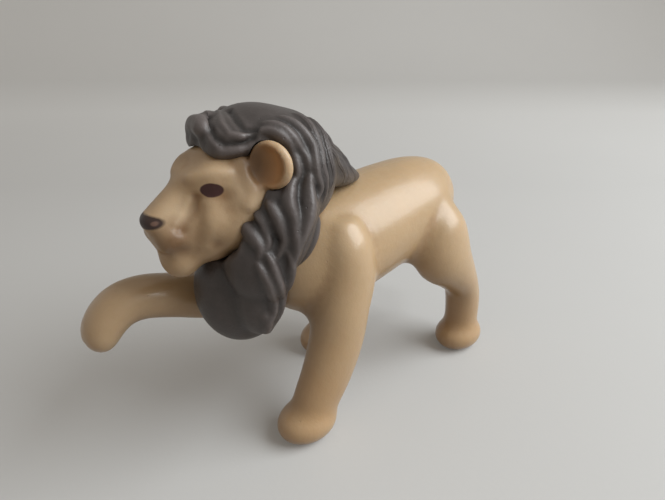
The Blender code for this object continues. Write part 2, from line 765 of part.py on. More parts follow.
def make_head_shell(form, parts, tools, material):
    rear = COLLAR_REACH + TURN_GAP
    rim = rear + HEAD_RIM_SETBACK
    head = as_object("head_shell", solid_mesh(form), parts)
    add_boolean(head, make_ear_dishes(tools), "DIFFERENCE", SKIN_SOLVER)
    front = make_neck_cylinder("head_front_block", rim, rim + 2 * HEAD_LENGTH, 2 * HEAD_LENGTH, tools)
    add_boolean(head, front, "INTERSECT", SKIN_SOLVER)
    add_boolean(head, make_head_hollow(tools), "DIFFERENCE", SKIN_SOLVER)
    boss = make_neck_cylinder("head_boss", rear, rear + BOSS_LENGTH, BOSS_DIAMETER, tools)
    add_boolean(head, boss, "UNION", SKIN_SOLVER)
    bore = make_neck_cylinder("plug_bore", rear - CUT_OVERRUN, rear + PLUG_LENGTH,
                              PLUG_DIAMETER + 2 * FIT_GAP, tools)
    add_boolean(head, bore, "DIFFERENCE", SKIN_SOLVER)
    return finish_piece(head, material)


# Mane

def mane_place(shares):
    x, y, z = shares
    return neck_point(0.0) + Vector((x * MANE_WIDTH, y * MANE_DEPTH - MANE_FORWARD,
                                     z * MANE_HEIGHT + MANE_RISE))


def add_mane_ball(bm, side, row):
    half = (row[3] * MANE_WIDTH, row[4] * MANE_DEPTH, row[5] * MANE_HEIGHT)
    tilt = Matrix.Rotation(math.radians(-row[6]), 4, "X")
    add_ellipsoid(bm, mane_place((side * row[0], row[1], row[2])), half, tilt)


def mane_loft(shares):
    return [(mane_place((0.0, along, up)), half_width * MANE_WIDTH, half_height * MANE_HEIGHT)
            for along, up, half_width, half_height in shares]


def make_mane_base(tools):
    bm = bmesh.new()
    for row in MANE_MIDDLE_SHARES:
        add_mane_ball(bm, 1, row)
    for side in (-1, 1):
        for row in MANE_SIDE_SHARES:
            add_mane_ball(bm, side, row)
    add_loft(bm, mane_loft(FORELOCK_SHARES))
    add_loft(bm, mane_loft(CAPE_SHARES))
    return hide_as_tool(bm_object("mane_base", bm, tools))


def smooth_way(points, count):
    # Evenly spaced places on a smooth curve through the points
    ends = [points[0]] + list(points) + [points[-1]]
    way = []
    for index in range(count):
        place = index * (len(points) - 1) / (count - 1)
        span = min(int(place), len(points) - 2)
        t = place - span
        p0, p1, p2, p3 = (Vector(point) for point in ends[span:span + 4])
        way.append(0.5 * (2 * p1 + (p2 - p0) * t + (2 * p0 - 5 * p1 + 4 * p2 - p3) * t * t
                          + (3 * p1 - p0 - 3 * p2 + p3) * t ** 3))
    return way


def on_mane(tree, turn, rise):
    # The place and the normal where a ray from the mane's middle leaves the base
    turn, rise = math.radians(turn), math.radians(rise)
    way = Vector((math.sin(turn) * math.cos(rise), -math.cos(turn) * math.cos(rise), math.sin(rise)))
    place, normal, _, _ = tree.ray_cast(mane_place((0.0, 0.0, 0.0)), way)
    return place, normal


def add_lock(bm, tree, side, width, points):
    places = [on_mane(tree, side * turn, rise) for turn, rise in smooth_way(points, LOCK_POINTS)]
    sections, sides = [], []
    for index, (place, normal) in enumerate(places):
        along = places[min(index + 1, LOCK_POINTS - 1)][0] - places[max(index - 1, 0)][0]
        taper_place = index * (len(LOCK_TAPER_SHARES) - 1) / (LOCK_POINTS - 1)
        before = min(int(taper_place), len(LOCK_TAPER_SHARES) - 2)
        part = taper_place - before
        taper = LOCK_TAPER_SHARES[before] * (1 - part) + LOCK_TAPER_SHARES[before + 1] * part
        sections.append((place, LOCK_WIDTH * width * taper / 2, LOCK_HEIGHT * taper / 2))
        sides.append(along.cross(normal))
    add_loft(bm, sections, 0.0, sides)


def make_mane_form(tools):
    base = make_mane_base(tools)
    skin = as_object("mane_skin", base.data.copy(), tools)
    remesh = skin.modifiers.new("Skin", "REMESH")
    remesh.mode = "VOXEL"
    remesh.voxel_size = SWEEP_VOXEL
    bm = bmesh.new()
    bm.from_mesh(solid_mesh(skin))
    tree = BVHTree.FromBMesh(bm)
    bm.free()
    bpy.data.objects.remove(skin)
    bm = bmesh.new()
    bm.from_mesh(base.data)
    for side in (-1, 1):
        for width, points in LOCKS:
            add_lock(bm, tree, side, width, points)
    form = hide_as_tool(bm_object("mane_form", bm, tools))
    return soften(form, MANE_VOXEL, 3, MANE_FACES)


def make_room(name, form, faces, gap, tools):
    # A thinned copy of a form, swelled by a gap
    room = hide_as_tool(as_object(name, solid_mesh(form), tools))
    thin = room.modifiers.new("Thin", "DECIMATE")
    thin.ratio = faces / len(room.data.polygons)
    swell = room.modifiers.new("Swell", "DISPLACE")
    swell.strength = gap
    swell.mid_level = 0.0
    return room


def make_turning_room(body_form, tools):
    # What the body and the collar sweep past, as the head sees them turn
    still = bmesh.new()
    still.from_mesh(solid_mesh(make_room("turning_still", body_form, STILL_FACES, BODY_CLEARANCE, tools)))
    add_cylinder(still, neck_point(COLLAR_ROOT), neck_point(COLLAR_REACH + TURN_GAP),
                 COLLAR_DIAMETER + 2 * TURN_GAP)
    source = bpy.data.meshes.new("turning_still")
    still.to_mesh(source)
    still.free()
    bm = bmesh.new()
    pivot = neck_point(0.0)
    for step in range(TURN_STEPS):
        angle = -BEARD_LEFT_TURN + step * (BEARD_LEFT_TURN + BEARD_RIGHT_TURN) / (TURN_STEPS - 1)
        mesh = source.copy()
        mesh.transform(Matrix.Translation(pivot) @ Matrix.Rotation(angle, 4, neck_direction())
                       @ Matrix.Translation(-pivot))
        bm.from_mesh(mesh)
        bpy.data.meshes.remove(mesh)
    room = hide_as_tool(bm_object("turning_room", bm, tools))
    return soften(room, SWEEP_VOXEL, 1, SWEEP_FACES)


def make_mane(form, body_form, head_form, parts, tools, material):
    mane = as_object("mane", solid_mesh(form), parts)
    head_room = make_room("head_room", head_form, HEAD_ROOM_FACES, SEAT_GAP, tools)
    add_boolean(mane, head_room, "DIFFERENCE", SKIN_SOLVER)
    add_boolean(mane, make_turning_room(body_form, tools), "DIFFERENCE", SKIN_SOLVER)
    return finish_piece(mane, material)


def main():
    clear_scene()
    parts = make_collection("toy_lion")
    tools = make_collection("toy_lion_tools")
    body_material = make_material("tan_plastic", COLOURS["body"], 0.40)
    face_material = make_material("face_plastic", COLOURS["face"], 0.42)
    mane_material = make_material("mane_plastic", COLOURS["mane"], 0.38)
    post_material = make_material("post_plastic", COLOURS["post"], 0.35)
    body_form = make_body_form(tools)
    hollow = make_trunk_hollow(tools)
    make_half("body_left_half", 1, body_form, hollow, parts, tools, body_material)
    make_half("body_right_half", -1, body_form, hollow, parts, tools, body_material)
    make_neck_post(parts, post_material)
    head_form = make_head_form(tools)
    make_head_shell(head_form, parts, tools, face_material)
    make_mane(make_mane_form(tools), body_form, head_form, parts, tools, mane_material)
    make_tail(parts, tools, body_material)
    make_tuft(parts, mane_material)


main()
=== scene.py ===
"""Looks of a hard plastic toy lion with one forepaw raised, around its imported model.

Every moulding is built again at a fine grain from the forms of its solid: lofted trunk and legs, a
head of blended forms, and a mane whose locks follow lines laid over its base. Metres, +Z up. The
lion faces -Y and its left side is +X.
"""
import math

import bmesh
import bpy
import numpy as np
from mathutils import Matrix, Vector
from mathutils.kdtree import KDTree


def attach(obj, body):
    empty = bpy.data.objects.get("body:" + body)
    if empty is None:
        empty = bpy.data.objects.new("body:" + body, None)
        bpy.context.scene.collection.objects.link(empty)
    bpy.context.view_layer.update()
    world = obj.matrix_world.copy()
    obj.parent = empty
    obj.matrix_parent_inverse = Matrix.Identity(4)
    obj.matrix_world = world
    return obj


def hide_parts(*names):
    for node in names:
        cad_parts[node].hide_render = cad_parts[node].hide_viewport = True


bl_info = {
    "name": "Moulded toy lion",
    "version": (1, 0, 0),
    "blender": (4, 5, 0),
    "location": "3D View > Sidebar > Lion",
    "description": "Builds the fine mouldings, prints and finishes of a plastic toy lion",
    "category": "Object",
}

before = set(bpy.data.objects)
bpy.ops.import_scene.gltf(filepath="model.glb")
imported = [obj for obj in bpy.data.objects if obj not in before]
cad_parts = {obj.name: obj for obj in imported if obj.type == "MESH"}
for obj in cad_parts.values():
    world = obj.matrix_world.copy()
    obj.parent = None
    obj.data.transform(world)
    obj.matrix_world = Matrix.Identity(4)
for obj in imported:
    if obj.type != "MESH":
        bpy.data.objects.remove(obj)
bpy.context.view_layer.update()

# Fits
FIT_GAP = 0.0003
CUT_OVERRUN = 0.004
SEAM_GAP = 0.00006
MERGE_DISTANCE = 0.00001

# Where the whole figure stands
FIGURE_SHIFT_Y = 0.0038

# Body
BODY_LENGTH = 0.0546
BODY_WIDTH = 0.0256
BACK_HEIGHT = 0.0514
CHEST_Y = -0.0200

# Legs
LEG_WIDTH = 0.0092
STANCE_HALF_WIDTH = 0.0107
SHOULDER_X = 0.0078
SHOULDER_SETBACK = 0.0144
SHOULDER_DROP = 0.0054
HIP_X = 0.0075
HIP_SETBACK = 0.0086
HIP_DROP = 0.0074
LEFT_FRONT_STEP = -0.0118
LEFT_REAR_STEP = 0.0075
RIGHT_REAR_STEP = -0.0220
FOOT_LENGTH = 0.0140
FOOT_WIDTH = 0.0112
FOOT_HEIGHT = 0.0086
SOLE_DEPTH = 0.0008
REACH_X = 0.0116
REACH_LENGTH = 0.0418

# Neck
NECK_SETBACK = 0.0140
NECK_DROP = 0.0138
NECK_SLOPE = math.radians(40)
BEARD_LEFT_TURN = math.radians(25)
BEARD_RIGHT_TURN = math.radians(10)
TURN_STEPS = 7
COLLAR_DIAMETER = 0.0150
COLLAR_REACH = 0.0155
COLLAR_ROOT = 0.0070
JOURNAL_DIAMETER = 0.0056
FLANGE_DIAMETER = 0.0100
FLANGE_THICKNESS = 0.0020
FLANGE_REACH = 0.0082
PLUG_DIAMETER = 0.0050
PLUG_LENGTH = 0.0060
TURN_GAP = 0.0006

# Head
HEAD_WIDTH = 0.0204
HEAD_LENGTH = 0.0280
HEAD_HEIGHT = 0.0240
HEAD_FORWARD = 0.0170
HEAD_RISE = 0.0155
HEAD_RIM_SETBACK = 0.0016
EAR_DIAMETER = 0.0080
EAR_THICKNESS = 0.0034
EAR_X = 0.0104
EAR_SETBACK = 0.0002
EAR_RISE = 0.0071
EAR_TURN = math.radians(25)
EAR_LEAN = math.radians(12)
EAR_DISH_SHARE = 0.88
EAR_DISH_DEPTH_SHARE = 0.42
EAR_DISH_SHIFT_SHARE = 0.05
MANE_SEAT_GAP = 0.00025

# Mane
MANE_WIDTH = 0.0320
MANE_DEPTH = 0.0360
MANE_HEIGHT = 0.0480
MANE_FORWARD = 0.0120
MANE_RISE = 0.0095
BODY_CLEARANCE = 0.0009
SWEEP_VOXEL = 0.0012

# Tail
TAIL_DIAMETER = 0.0030
TAIL_DROP = 0.0170
TAIL_STAND_OFF = 0.0067
TAIL_ASIDE = 0.0050
TAIL_ROOT_DROP = 0.0024
TAIL_ROOT_GAP = 0.0008
KNOB_DIAMETER = 0.0054
KNOB_THICKNESS = 0.0016
TAIL_WALL_SHARE = 0.92
TUFT_LENGTH = 0.0110
TUFT_DIAMETER = 0.0060
TUFT_SOCKET = 0.0040

BODY_BRIDGE = 0.0026
HEAD_BRIDGE = 0.0028
RING_SIDES = 48

# Trunk sections, chest to rump: along the body, top and bottom of the back height, width
TRUNK_SHARES = [
    (0.000, 0.780, 0.640, 0.30),
    (0.052, 0.870, 0.545, 0.62),
    (0.165, 0.940, 0.465, 0.92),
    (0.308, 0.966, 0.475, 1.00),
    (0.488, 0.984, 0.512, 0.98),
    (0.636, 0.998, 0.545, 0.93),
    (0.780, 1.000, 0.560, 0.86),
    (0.882, 0.970, 0.585, 0.64),
    (0.954, 0.895, 0.640, 0.42),
    (1.000, 0.800, 0.700, 0.20),
]
# Leg sections: down to the floor, forward to the foot, out to the stance, side and deep thickness
STANDING_FORELEG_SHARES = [
    (0.01, 0.00, 0.00, 0.62, 0.72),
    (0.11, 0.02, 0.30, 1.12, 1.26),
    (0.26, 0.04, 0.60, 1.22, 1.42),
    (0.40, 0.18, 0.80, 1.18, 1.38),
    (0.55, 0.30, 0.92, 1.10, 1.37),
    (0.70, 0.52, 1.00, 1.02, 1.31),
    (0.82, 0.76, 1.00, 0.97, 1.20),
    (0.90, 0.91, 1.00, 0.96, 1.08),
]
REAR_LEG_SHARES = [
    (0.02, -0.35, 0.00, 0.60, 0.70),
    (0.14, -0.45, 0.45, 1.22, 1.50),
    (0.30, -0.40, 0.90, 1.30, 1.70),
    (0.43, 0.16, 1.15, 1.12, 1.22),
    (0.55, 0.70, 1.12, 0.98, 0.92),
    (0.67, 0.96, 1.05, 0.91, 1.00),
    (0.80, 1.05, 1.00, 0.88, 1.02),
    (0.91, 1.02, 1.00, 0.92, 0.96),
]
STEPPING_LEG_SHARES = [
    (0.02, 0.00, 0.00, 0.60, 0.90),
    (0.14, 0.12, 0.30, 1.26, 1.75),
    (0.30, 0.34, 0.60, 1.32, 1.60),
    (0.46, 0.60, 0.80, 1.14, 1.25),
    (0.60, 0.80, 0.92, 0.98, 1.02),
    (0.74, 0.92, 1.00, 0.90, 0.92),
    (0.84, 0.96, 1.00, 0.90, 0.92),
    (0.91, 0.98, 1.00, 0.92, 0.94),
]
# Raised foreleg: along its reach, height, side and deep thickness
RAISED_FORELEG_SHARES = [
    (0.00, 0.88, 0.80, 1.10),
    (0.15, 0.74, 1.20, 1.45),
    (0.32, 0.62, 1.15, 1.30),
    (0.50, 0.62, 1.04, 1.12),
    (0.68, 0.67, 0.98, 1.00),
    (0.82, 0.705, 1.00, 0.94),
    (0.92, 0.70, 1.04, 0.88),
    (0.99, 0.655, 1.06, 0.84),
    (1.03, 0.605, 1.04, 0.78),
]
# Ball of the raised paw: along the reach, height, half sizes of the leg's width
PAW_BALL_SHARES = (1.035, 0.600, 0.50, 0.36, 0.42)

# Head forms: place from the head's middle, then half sizes, all of the head's three sizes
HEAD_MIDDLE_SHARES = [
    (0.00, 0.00, 0.03, 0.50, 0.37, 0.40),
    (0.00, -0.17, 0.17, 0.37, 0.25, 0.22),
    (0.00, -0.40, -0.17, 0.25, 0.22, 0.20),
    (0.00, -0.58, -0.06, 0.13, 0.08, 0.08),
    (0.00, -0.45, -0.36, 0.18, 0.13, 0.18),
    (0.00, -0.25, -0.26, 0.29, 0.22, 0.20),
]
HEAD_SIDE_SHARES = [
    (0.22, -0.14, -0.10, 0.22, 0.24, 0.25),
    (0.11, -0.52, -0.17, 0.14, 0.10, 0.11),
    (0.17, -0.28, 0.21, 0.14, 0.08, 0.06),
]
# Bridge of the nose: along the head, up, half width, half height
NOSE_SHARES = [
    (-0.20, 0.20, 0.20, 0.11),
    (-0.32, 0.135, 0.17, 0.11),
    (-0.46, 0.045, 0.14, 0.085),
    (-0.57, -0.030, 0.13, 0.065),
]
# Mane forms: place from the mane's middle, half sizes, of its three sizes; backward tilt in degrees
MANE_MIDDLE_SHARES = [
    (0.00, 0.08, 0.18, 0.40, 0.275, 0.235, 0),
    (0.00, -0.05, 0.02, 0.470, 0.19, 0.32, 26),
    (0.00, -0.17, -0.265, 0.26, 0.265, 0.245, 0),
]
MANE_SIDE_SHARES = [
    (0.23, -0.17, -0.08, 0.20, 0.18, 0.18, 10),
    (0.28, -0.06, 0.08, 0.15, 0.16, 0.16, 10),
    (0.24, -0.19, -0.23, 0.12, 0.13, 0.18, 0),
]
# Forelock over the brow: along the mane's depth, up its height, half width, half height
FORELOCK_SHARES = [
    (0.12, 0.28, 0.34, 0.13),
    (-0.03, 0.340, 0.32, 0.100),
    (-0.15, 0.340, 0.27, 0.077),
    (-0.26, 0.330, 0.22, 0.078),
    (-0.335, 0.326, 0.17, 0.062),
]
# Cape over the withers: along the mane's depth, up its height, half width, half height
CAPE_SHARES = [
    (0.05, 0.26, 0.34, 0.13),
    (0.25, 0.19, 0.28, 0.11),
    (0.42, 0.13, 0.20, 0.075),
    (0.55, 0.090, 0.12, 0.042),
    (0.63, 0.072, 0.05, 0.020),
]
# Locks of one side: width share, then the way each runs, as turn from the face and rise in degrees
LOCKS = [
    (0.8, ((53, 62), (66, 63), (78, 60), (86, 56), (88, 49), (86, 42), (79, 35))),
    (0.8, ((58, 67), (77, 64), (89, 58), (96, 52), (97, 45), (96, 38))),
    (1.0, ((97, 43), (94, 36), (91, 27), (88, 19), (83, 10), (79, 0), (78, -11))),
    (0.8, ((82, 71), (97, 66), (103, 59), (106, 53), (103, 46), (102, 39), (104, 31), (95, 21))),
    (0.75, ((125, 73), (121, 65), (114, 57), (111, 49), (108, 42), (110, 34), (110, 22))),
    (0.65, ((146, 66), (134, 57), (124, 50), (120, 42), (121, 34), (117, 28))),
    (0.6, ((150, 61), (146, 51), (168, 32), (162, 25), (165, 17))),
    (0.6, ((124, 53), (130, 46), (145, 35), (153, 23))),
    (0.95, ((86, 44), (78, 36), (75, 28), (77, 18), (77, 9), (77, -1), (75, -11), (72, -21))),
    (0.85, ((60, 32), (65, 23), (68, 14), (70, 5), (67, -2), (63, -8))),
    (0.75, ((49, 27), (56, 18), (58, 10), (59, 3), (56, -3))),
    (1.0, ((38, 19), (47, 11), (52, 5), (54, 0), (52, -6))),
    (0.8, ((104, 14), (100, 4), (96, -8), (92, -20), (88, -32), (80, -44))),
    (0.8, ((114, 10), (111, -2), (107, -14), (102, -26), (95, -38))),
    (0.7, ((124, 6), (122, -6), (118, -18), (112, -30))),
    (0.7, ((69, 1), (73, -8), (74, -21), (73, -34), (71, -46), (66, -56))),
    (0.75, ((56, 0), (60, -7), (62, -16), (65, -29), (68, -46), (67, -52), (62, -56))),
    (0.75, ((51, -6), (55, -14), (58, -22), (60, -37), (60, -45), (56, -50), (51, -57))),
]
# Tail outside the rump: back by the stand-off, down by the drop, aside to the right
TAIL_SHARES = [
    (0.00, 0.00, 0.00), (0.20, 0.02, 0.10), (0.35, 0.08, 0.24), (0.46, 0.20, 0.42),
    (0.56, 0.38, 0.64), (0.70, 0.60, 0.82), (0.85, 0.82, 0.94), (1.00, 1.00, 1.00),
]
# Tuft: radius of its greatest, down its length
TUFT_SHARES = [
    (0.30, 0.00), (0.95, 0.12), (1.00, 0.30), (0.86, 0.52), (0.58, 0.74), (0.25, 0.93), (0.10, 0.985),
]

# Prints on the face, with painted highlights, painted glow and painted shade among them, each over the ones
# before it: colour, place from the head's middle and half sizes in the head's three sizes, share of its
# size that its edge takes up, roughness
PRINTS_AND_PAINTED_LIGHT = [
    # Painted highlights on the bridge of the nose and on the temples
    ("face_highlight", (0.155, -0.455, 0.020), (0.09, 0.10, 0.08), 1.6, 0.42),
    ("face_highlight", (0.450, -0.100, 0.140), (0.10, 0.10, 0.16), 1.6, 0.42),
    # Painted glow of light shining through the thin ears
    ("ear", (0.53, -0.03, 0.29), (0.13, 0.09, 0.15), 0.5, 0.50),
    # Painted shade in the ear bowls
    ("stain_and_shade", (0.390, -0.050, 0.300), (0.11, 0.10, 0.17), 1.4, 0.50),
    # Stain with painted shade at the corners of the mouth
    ("stain_and_shade", (0.225, -0.530, -0.170), (0.15, 0.11, 0.11), 1.4, 0.50),
    ("nose", (0.0, -0.600, -0.048), (0.166, 0.100, 0.052), 0.18, 0.40),
    # Painted highlight on the nostrils
    ("nostril_highlight", (0.113, -0.599, -0.046), (0.019, 0.034, 0.016), 0.6, 0.45),
    ("eye", (0.299, -0.300, 0.150), (0.086, 0.070, 0.049), 0.14, 0.50),
]
MATT_PRINTS = ("nose", "eye")
FACE_COAT = 0.14
PRINT_WOBBLE = 0.00016
# Ways of the modelling tool over a skin: its sides, places in the three sizes of the head or the mane,
# then reach to each side and rise in its width
BOTH = (-1, 1)
LEFT = (1,)
RIGHT = (-1,)
FACE_STROKES = [
    (BOTH, ((0.190, -0.360, 0.095), (0.195, -0.414, -0.017), (0.215, -0.478, -0.095)), 0.075, -0.018),
    (BOTH, ((0.160, -0.400, 0.070), (0.185, -0.500, -0.055)), 0.060, 0.010),
    (BOTH, ((0.271, -0.322, 0.048), (0.315, -0.350, -0.076), (0.266, -0.362, -0.236)), 0.100, 0.014),
    (BOTH, ((0.379, -0.233, 0.085), (0.411, -0.247, -0.082), (0.335, -0.296, -0.230)), 0.120, -0.018),
    (BOTH, ((0.297, -0.102, 0.328), (0.370, -0.095, 0.224), (0.463, -0.096, 0.125),
            (0.463, -0.128, 0.042)), 0.090, 0.020),
    (BOTH, ((0.270, -0.310, 0.150), (0.340, -0.250, 0.150)), 0.130, -0.014),
    (BOTH, ((0.153, -0.384, 0.225), (0.249, -0.309, 0.269), (0.331, -0.199, 0.260)), 0.080, 0.010),
    (BOTH, ((0.221, -0.494, -0.108), (0.228, -0.551, -0.167), (0.200, -0.500, -0.250)), 0.110, -0.011),
    (BOTH, ((0.050, -0.580, -0.290), (0.150, -0.560, -0.270)), 0.045, -0.008),
    (BOTH, ((0.000, -0.360, 0.340), (0.100, -0.330, 0.350)), 0.220, -0.030),
]
MANE_STROKES = [
    (LEFT, ((-0.030, -0.262, 0.402), (0.054, -0.297, 0.395), (0.143, -0.313, 0.365),
            (0.191, -0.287, 0.342), (0.225, -0.230, 0.342), (0.242, -0.177, 0.358)), 0.036, -0.024),
    (LEFT, ((-0.150, -0.285, 0.375), (-0.090, -0.298, 0.384), (-0.030, -0.304, 0.390),
            (0.030, -0.318, 0.384)), 0.075, 0.034),
    (LEFT, ((-0.150, -0.205, 0.392), (-0.120, -0.225, 0.400), (-0.060, -0.245, 0.407)), 0.060, 0.024),
    (LEFT, ((-0.038, -0.146, 0.419), (0.121, -0.190, 0.402), (0.196, -0.195, 0.381),
            (0.234, -0.150, 0.377)), 0.030, -0.016),
    (LEFT, ((-0.098, -0.176, 0.409), (0.110, -0.255, 0.397), (0.180, -0.257, 0.373),
            (0.221, -0.210, 0.363)), 0.028, 0.012),
    (RIGHT, ((0.190, -0.120, 0.400), (0.160, -0.220, 0.385), (0.181, -0.282, 0.340),
             (0.224, -0.229, 0.342)), 0.036, -0.020),
    (BOTH, ((0.050, -0.336, 0.335), (0.081, -0.332, 0.316), (0.167, -0.293, 0.316),
            (0.224, -0.231, 0.326)), 0.045, 0.010),
    (BOTH, ((0.345, -0.222, -0.286), (0.299, -0.192, -0.376)), 0.050, 0.014),
    (BOTH, ((0.100, -0.320, -0.060), (0.162, -0.326, -0.036), (0.232, -0.321, -0.005),
            (0.235, -0.302, 0.022)), 0.070, -0.045),
]

TAN_CONSTANTS = {
    "Subsurface Weight": 0.12, "Subsurface Radius": (0.0030, 0.0016, 0.0007), "Subsurface Scale": 1.0,
    "Coat Weight": 0.38, "Coat Roughness": 0.20, "Specular IOR Level": 0.45,
}
MANE_CONSTANTS = {"Coat Weight": 0.12, "Coat Roughness": 0.32, "Specular IOR Level": 0.45}

# Height under which the body turns darker and browner towards the feet
FOOT_TONE_HEIGHT = 0.028
STRAND_START_SHARE = 0.05
STRAND_FADE_SHARE = 0.20
STRANDS = 7
STRAND_STEPS = 7
STRAND_TWIST = 0.45
STRAND_TOP = 62
STRAND_FALL = 142
STRAND_SHIFT = 0.37
TUFT_CORE_SHARE = 0.86
TUFT_MIDDLE_SHARE = 0.42
TUFT_STRAND_SHARES = (0.34, 0.15)

# Relief that the wear and painted sheen on ridges and the painted shade in hollows follow: how often the
# skin is eased, height over that form that counts in full
BODY_RELIEF = (60, 0.00045)
TAIL_RELIEF = (10, 0.0004)
TUFT_RELIEF = (12, 0.0003)
HEAD_RELIEF = (50, 0.00040)
MANE_RELIEF = (40, 0.00055)

# Grain of the plastics: noises as scale, detail and roughness, then how deep each plastic's grain is
CLOUD_NOISE = (140.0, 4.0, 0.55)
PATCH_NOISE = (620.0, 3.0, 0.6)
GRAIN_NOISE = (2600.0, 2.0, 0.6)
PORE_SCALE = 420.0
TAN_GRAIN = 0.00009
FACE_GRAIN = 0.00008
MANE_GRAIN = 0.00012
POST_GRAIN = 0.00006
FLOOR_GRAIN = 0.00002

# Stage
CAMERA_PLACE = (0.07658, -0.06021, 0.08294)
CAMERA_TURN = (math.radians(64), 0.0, math.radians(50.89))
CAMERA_LENS = 27.07
CAMERA_SENSOR = 36.0
CAMERA_NEAR = 0.002
WINDOW_PLACE = (0.36, 0.34, 0.42)
WINDOW_SIZE = (0.54, 0.54)
WINDOW_COLOUR = (0.95, 0.98, 1.0)
ROOM_COLOUR = (1.0, 0.87, 0.74)
GLOW_START = 0.15
GLOW_SPAN = 0.35
GLOW_NEAR = 0.45
FLOOR_HALF = 0.9
FLOOR_BACK = 0.54
FLOOR_BEND = 0.25
FLOOR_BEND_STEPS = 16
FLOOR_TOP = 1.2


# Meshes

def collection_object(name, mesh):
    obj = bpy.data.objects.new(name, mesh)
    bpy.context.scene.collection.objects.link(obj)
    return obj


def loose_object(name, bm):
    bmesh.ops.recalc_face_normals(bm, faces=bm.faces)
    mesh = bpy.data.meshes.new(name)
    bm.to_mesh(mesh)
    bm.free()
    return collection_object(name, mesh)


def formed(name, add_forms):
    bm = bmesh.new()
    add_forms(bm)
    return loose_object(name, bm)


def joined(name, objects):
    bm = bmesh.new()
    for obj in objects:
        bm.from_mesh(obj.data)
    return loose_object(name, bm)


def baked_mesh(obj):
    # The object's mesh with its modifiers, in world space
    bpy.context.view_layer.update()
    graph = bpy.context.evaluated_depsgraph_get()
    mesh = bpy.data.meshes.new_from_object(obj.evaluated_get(graph))
    mesh.transform(obj.matrix_world)
    return mesh


def drop(obj):
    mesh = obj.data
    bpy.data.objects.remove(obj)
    bpy.data.meshes.remove(mesh)


def bake(obj):
    # The modifiers become the object's own mesh
    mesh = baked_mesh(obj)
    old = obj.data
    obj.modifiers.clear()
    obj.data = mesh
    obj.matrix_world = Matrix()
    bpy.data.meshes.remove(old)
    return obj


def fuse(obj, voxel, smooth_steps, swell=0.0):
    # Overlapping forms become one smooth skin, moved out by the swell
    remesh = obj.modifiers.new("Skin", "REMESH")
    remesh.mode = "VOXEL"
    remesh.voxel_size = voxel
    smooth = obj.modifiers.new("Smooth", "SMOOTH")
    smooth.factor = 0.5
    smooth.iterations = smooth_steps
    if swell:
        move = obj.modifiers.new("Swell", "DISPLACE")
        move.strength = swell
        move.mid_level = 0.0
    return bake(obj)


def bridge(obj, voxel, smooth_steps, reach):
    # Swelling and shrinking by the same reach fills the creases between forms
    fuse(obj, voxel, 3, reach)
    fuse(obj, voxel, 6, -reach)
    return fuse(obj, voxel, smooth_steps)


def combine(obj, tool, operation):
    modifier = obj.modifiers.new(operation.title(), "BOOLEAN")
    modifier.operation = operation
    modifier.solver = "MANIFOLD"
    modifier.object = tool
    bake(obj)
    drop(tool)
    return obj


def add_ring(bm, centre, along, side, half_side, half_deep):
    side = (side - along * side.dot(along)).normalized()
    deep = along.cross(side)
    ring = []
    for step in range(RING_SIDES):
        angle = 2 * math.pi * step / RING_SIDES
        offset = side * (half_side * math.cos(angle)) + deep * (half_deep * math.sin(angle))
        ring.append(bm.verts.new(centre + offset))
    return ring


def add_loft(bm, sections):
    # Sections are (centre, half side, half deep); the rings stand square to the line of centres
    rings = []
    for index, (centre, half_side, half_deep) in enumerate(sections):
        before = sections[max(index - 1, 0)][0]
        after = sections[min(index + 1, len(sections) - 1)][0]
        along = (after - before).normalized()
        rings.append(add_ring(bm, centre, along, Vector((1.0, 0.0, 0.0)), half_side, half_deep))
    for first, second in zip(rings, rings[1:]):
        for step in range(RING_SIDES):
            following = (step + 1) % RING_SIDES
            bm.faces.new((first[step], first[following], second[following], second[step]))
    bm.faces.new(reversed(rings[0]))
    bm.faces.new(rings[-1])


def smooth_sections(sections, steps=4):
    # The sections and evenly placed ones between them, on a smooth curve through their sizes
    rows = [(*centre, half_side, half_deep) for centre, half_side, half_deep in sections]
    ends = [rows[0]] + rows + [rows[-1]]
    fine = []
    for span in range(len(rows) - 1):
        p0, p1, p2, p3 = (np.array(row) for row in ends[span:span + 4])
        for step in range(steps):
            t = step / steps
            row = 0.5 * (2 * p1 + (p2 - p0) * t + (2 * p0 - 5 * p1 + 4 * p2 - p3) * t * t
                         + (3 * p1 - p0 - 3 * p2 + p3) * t ** 3)
            fine.append((Vector(row[:3]), float(row[3]), float(row[4])))
    return fine + [sections[-1]]


def add_ellipsoid(bm, centre, half_sizes, turn=None):
    scale = Matrix.Diagonal((*half_sizes, 1.0))
    place = Matrix.Translation(centre) @ (turn or Matrix()) @ scale
    bmesh.ops.create_uvsphere(bm, u_segments=RING_SIDES, v_segments=RING_SIDES // 2,
                              radius=1.0, matrix=place)


def add_cylinder(bm, start, end, diameter):
    axis = end - start
    turn = axis.to_track_quat("Z", "Y").to_matrix().to_4x4()
    bmesh.ops.create_cone(bm, cap_ends=True, segments=2 * RING_SIDES, radius1=diameter / 2,
                          radius2=diameter / 2, depth=axis.length,
                          matrix=Matrix.Translation((start + end) / 2) @ turn)


def cylinder(name, start, end, diameter):
    return formed(name, lambda bm: add_cylinder(bm, start, end, diameter))


def bore(obj, name, start, end, diameter):
    # A round hole that leaves a gap around what goes into it
    return combine(obj, cylinder(name, start, end, diameter + 2 * FIT_GAP), "DIFFERENCE")


def block(name, low, high):
    place = Matrix.Translation((low + high) / 2) @ Matrix.Diagonal((*(high - low), 1.0))
    return formed(name, lambda bm: bmesh.ops.create_cube(bm, size=1.0, matrix=place))


def points_of(mesh):
    points = np.empty(3 * len(mesh.vertices))
    mesh.vertices.foreach_get("co", points)
    return points.reshape(-1, 3)


def eased(points, edges, steps):
    # Each point moved towards the middle of its neighbours, as often as there are steps
    count = np.bincount(edges.ravel(), minlength=len(points))[:, None]
    for _ in range(steps):
        total = np.zeros_like(points)
        for axis in range(3):
            total[:, axis] = (np.bincount(edges[:, 0], points[edges[:, 1], axis], len(points))
                              + np.bincount(edges[:, 1], points[edges[:, 0], axis], len(points)))
        points = (points + total / np.maximum(count, 1)) / 2
    return points


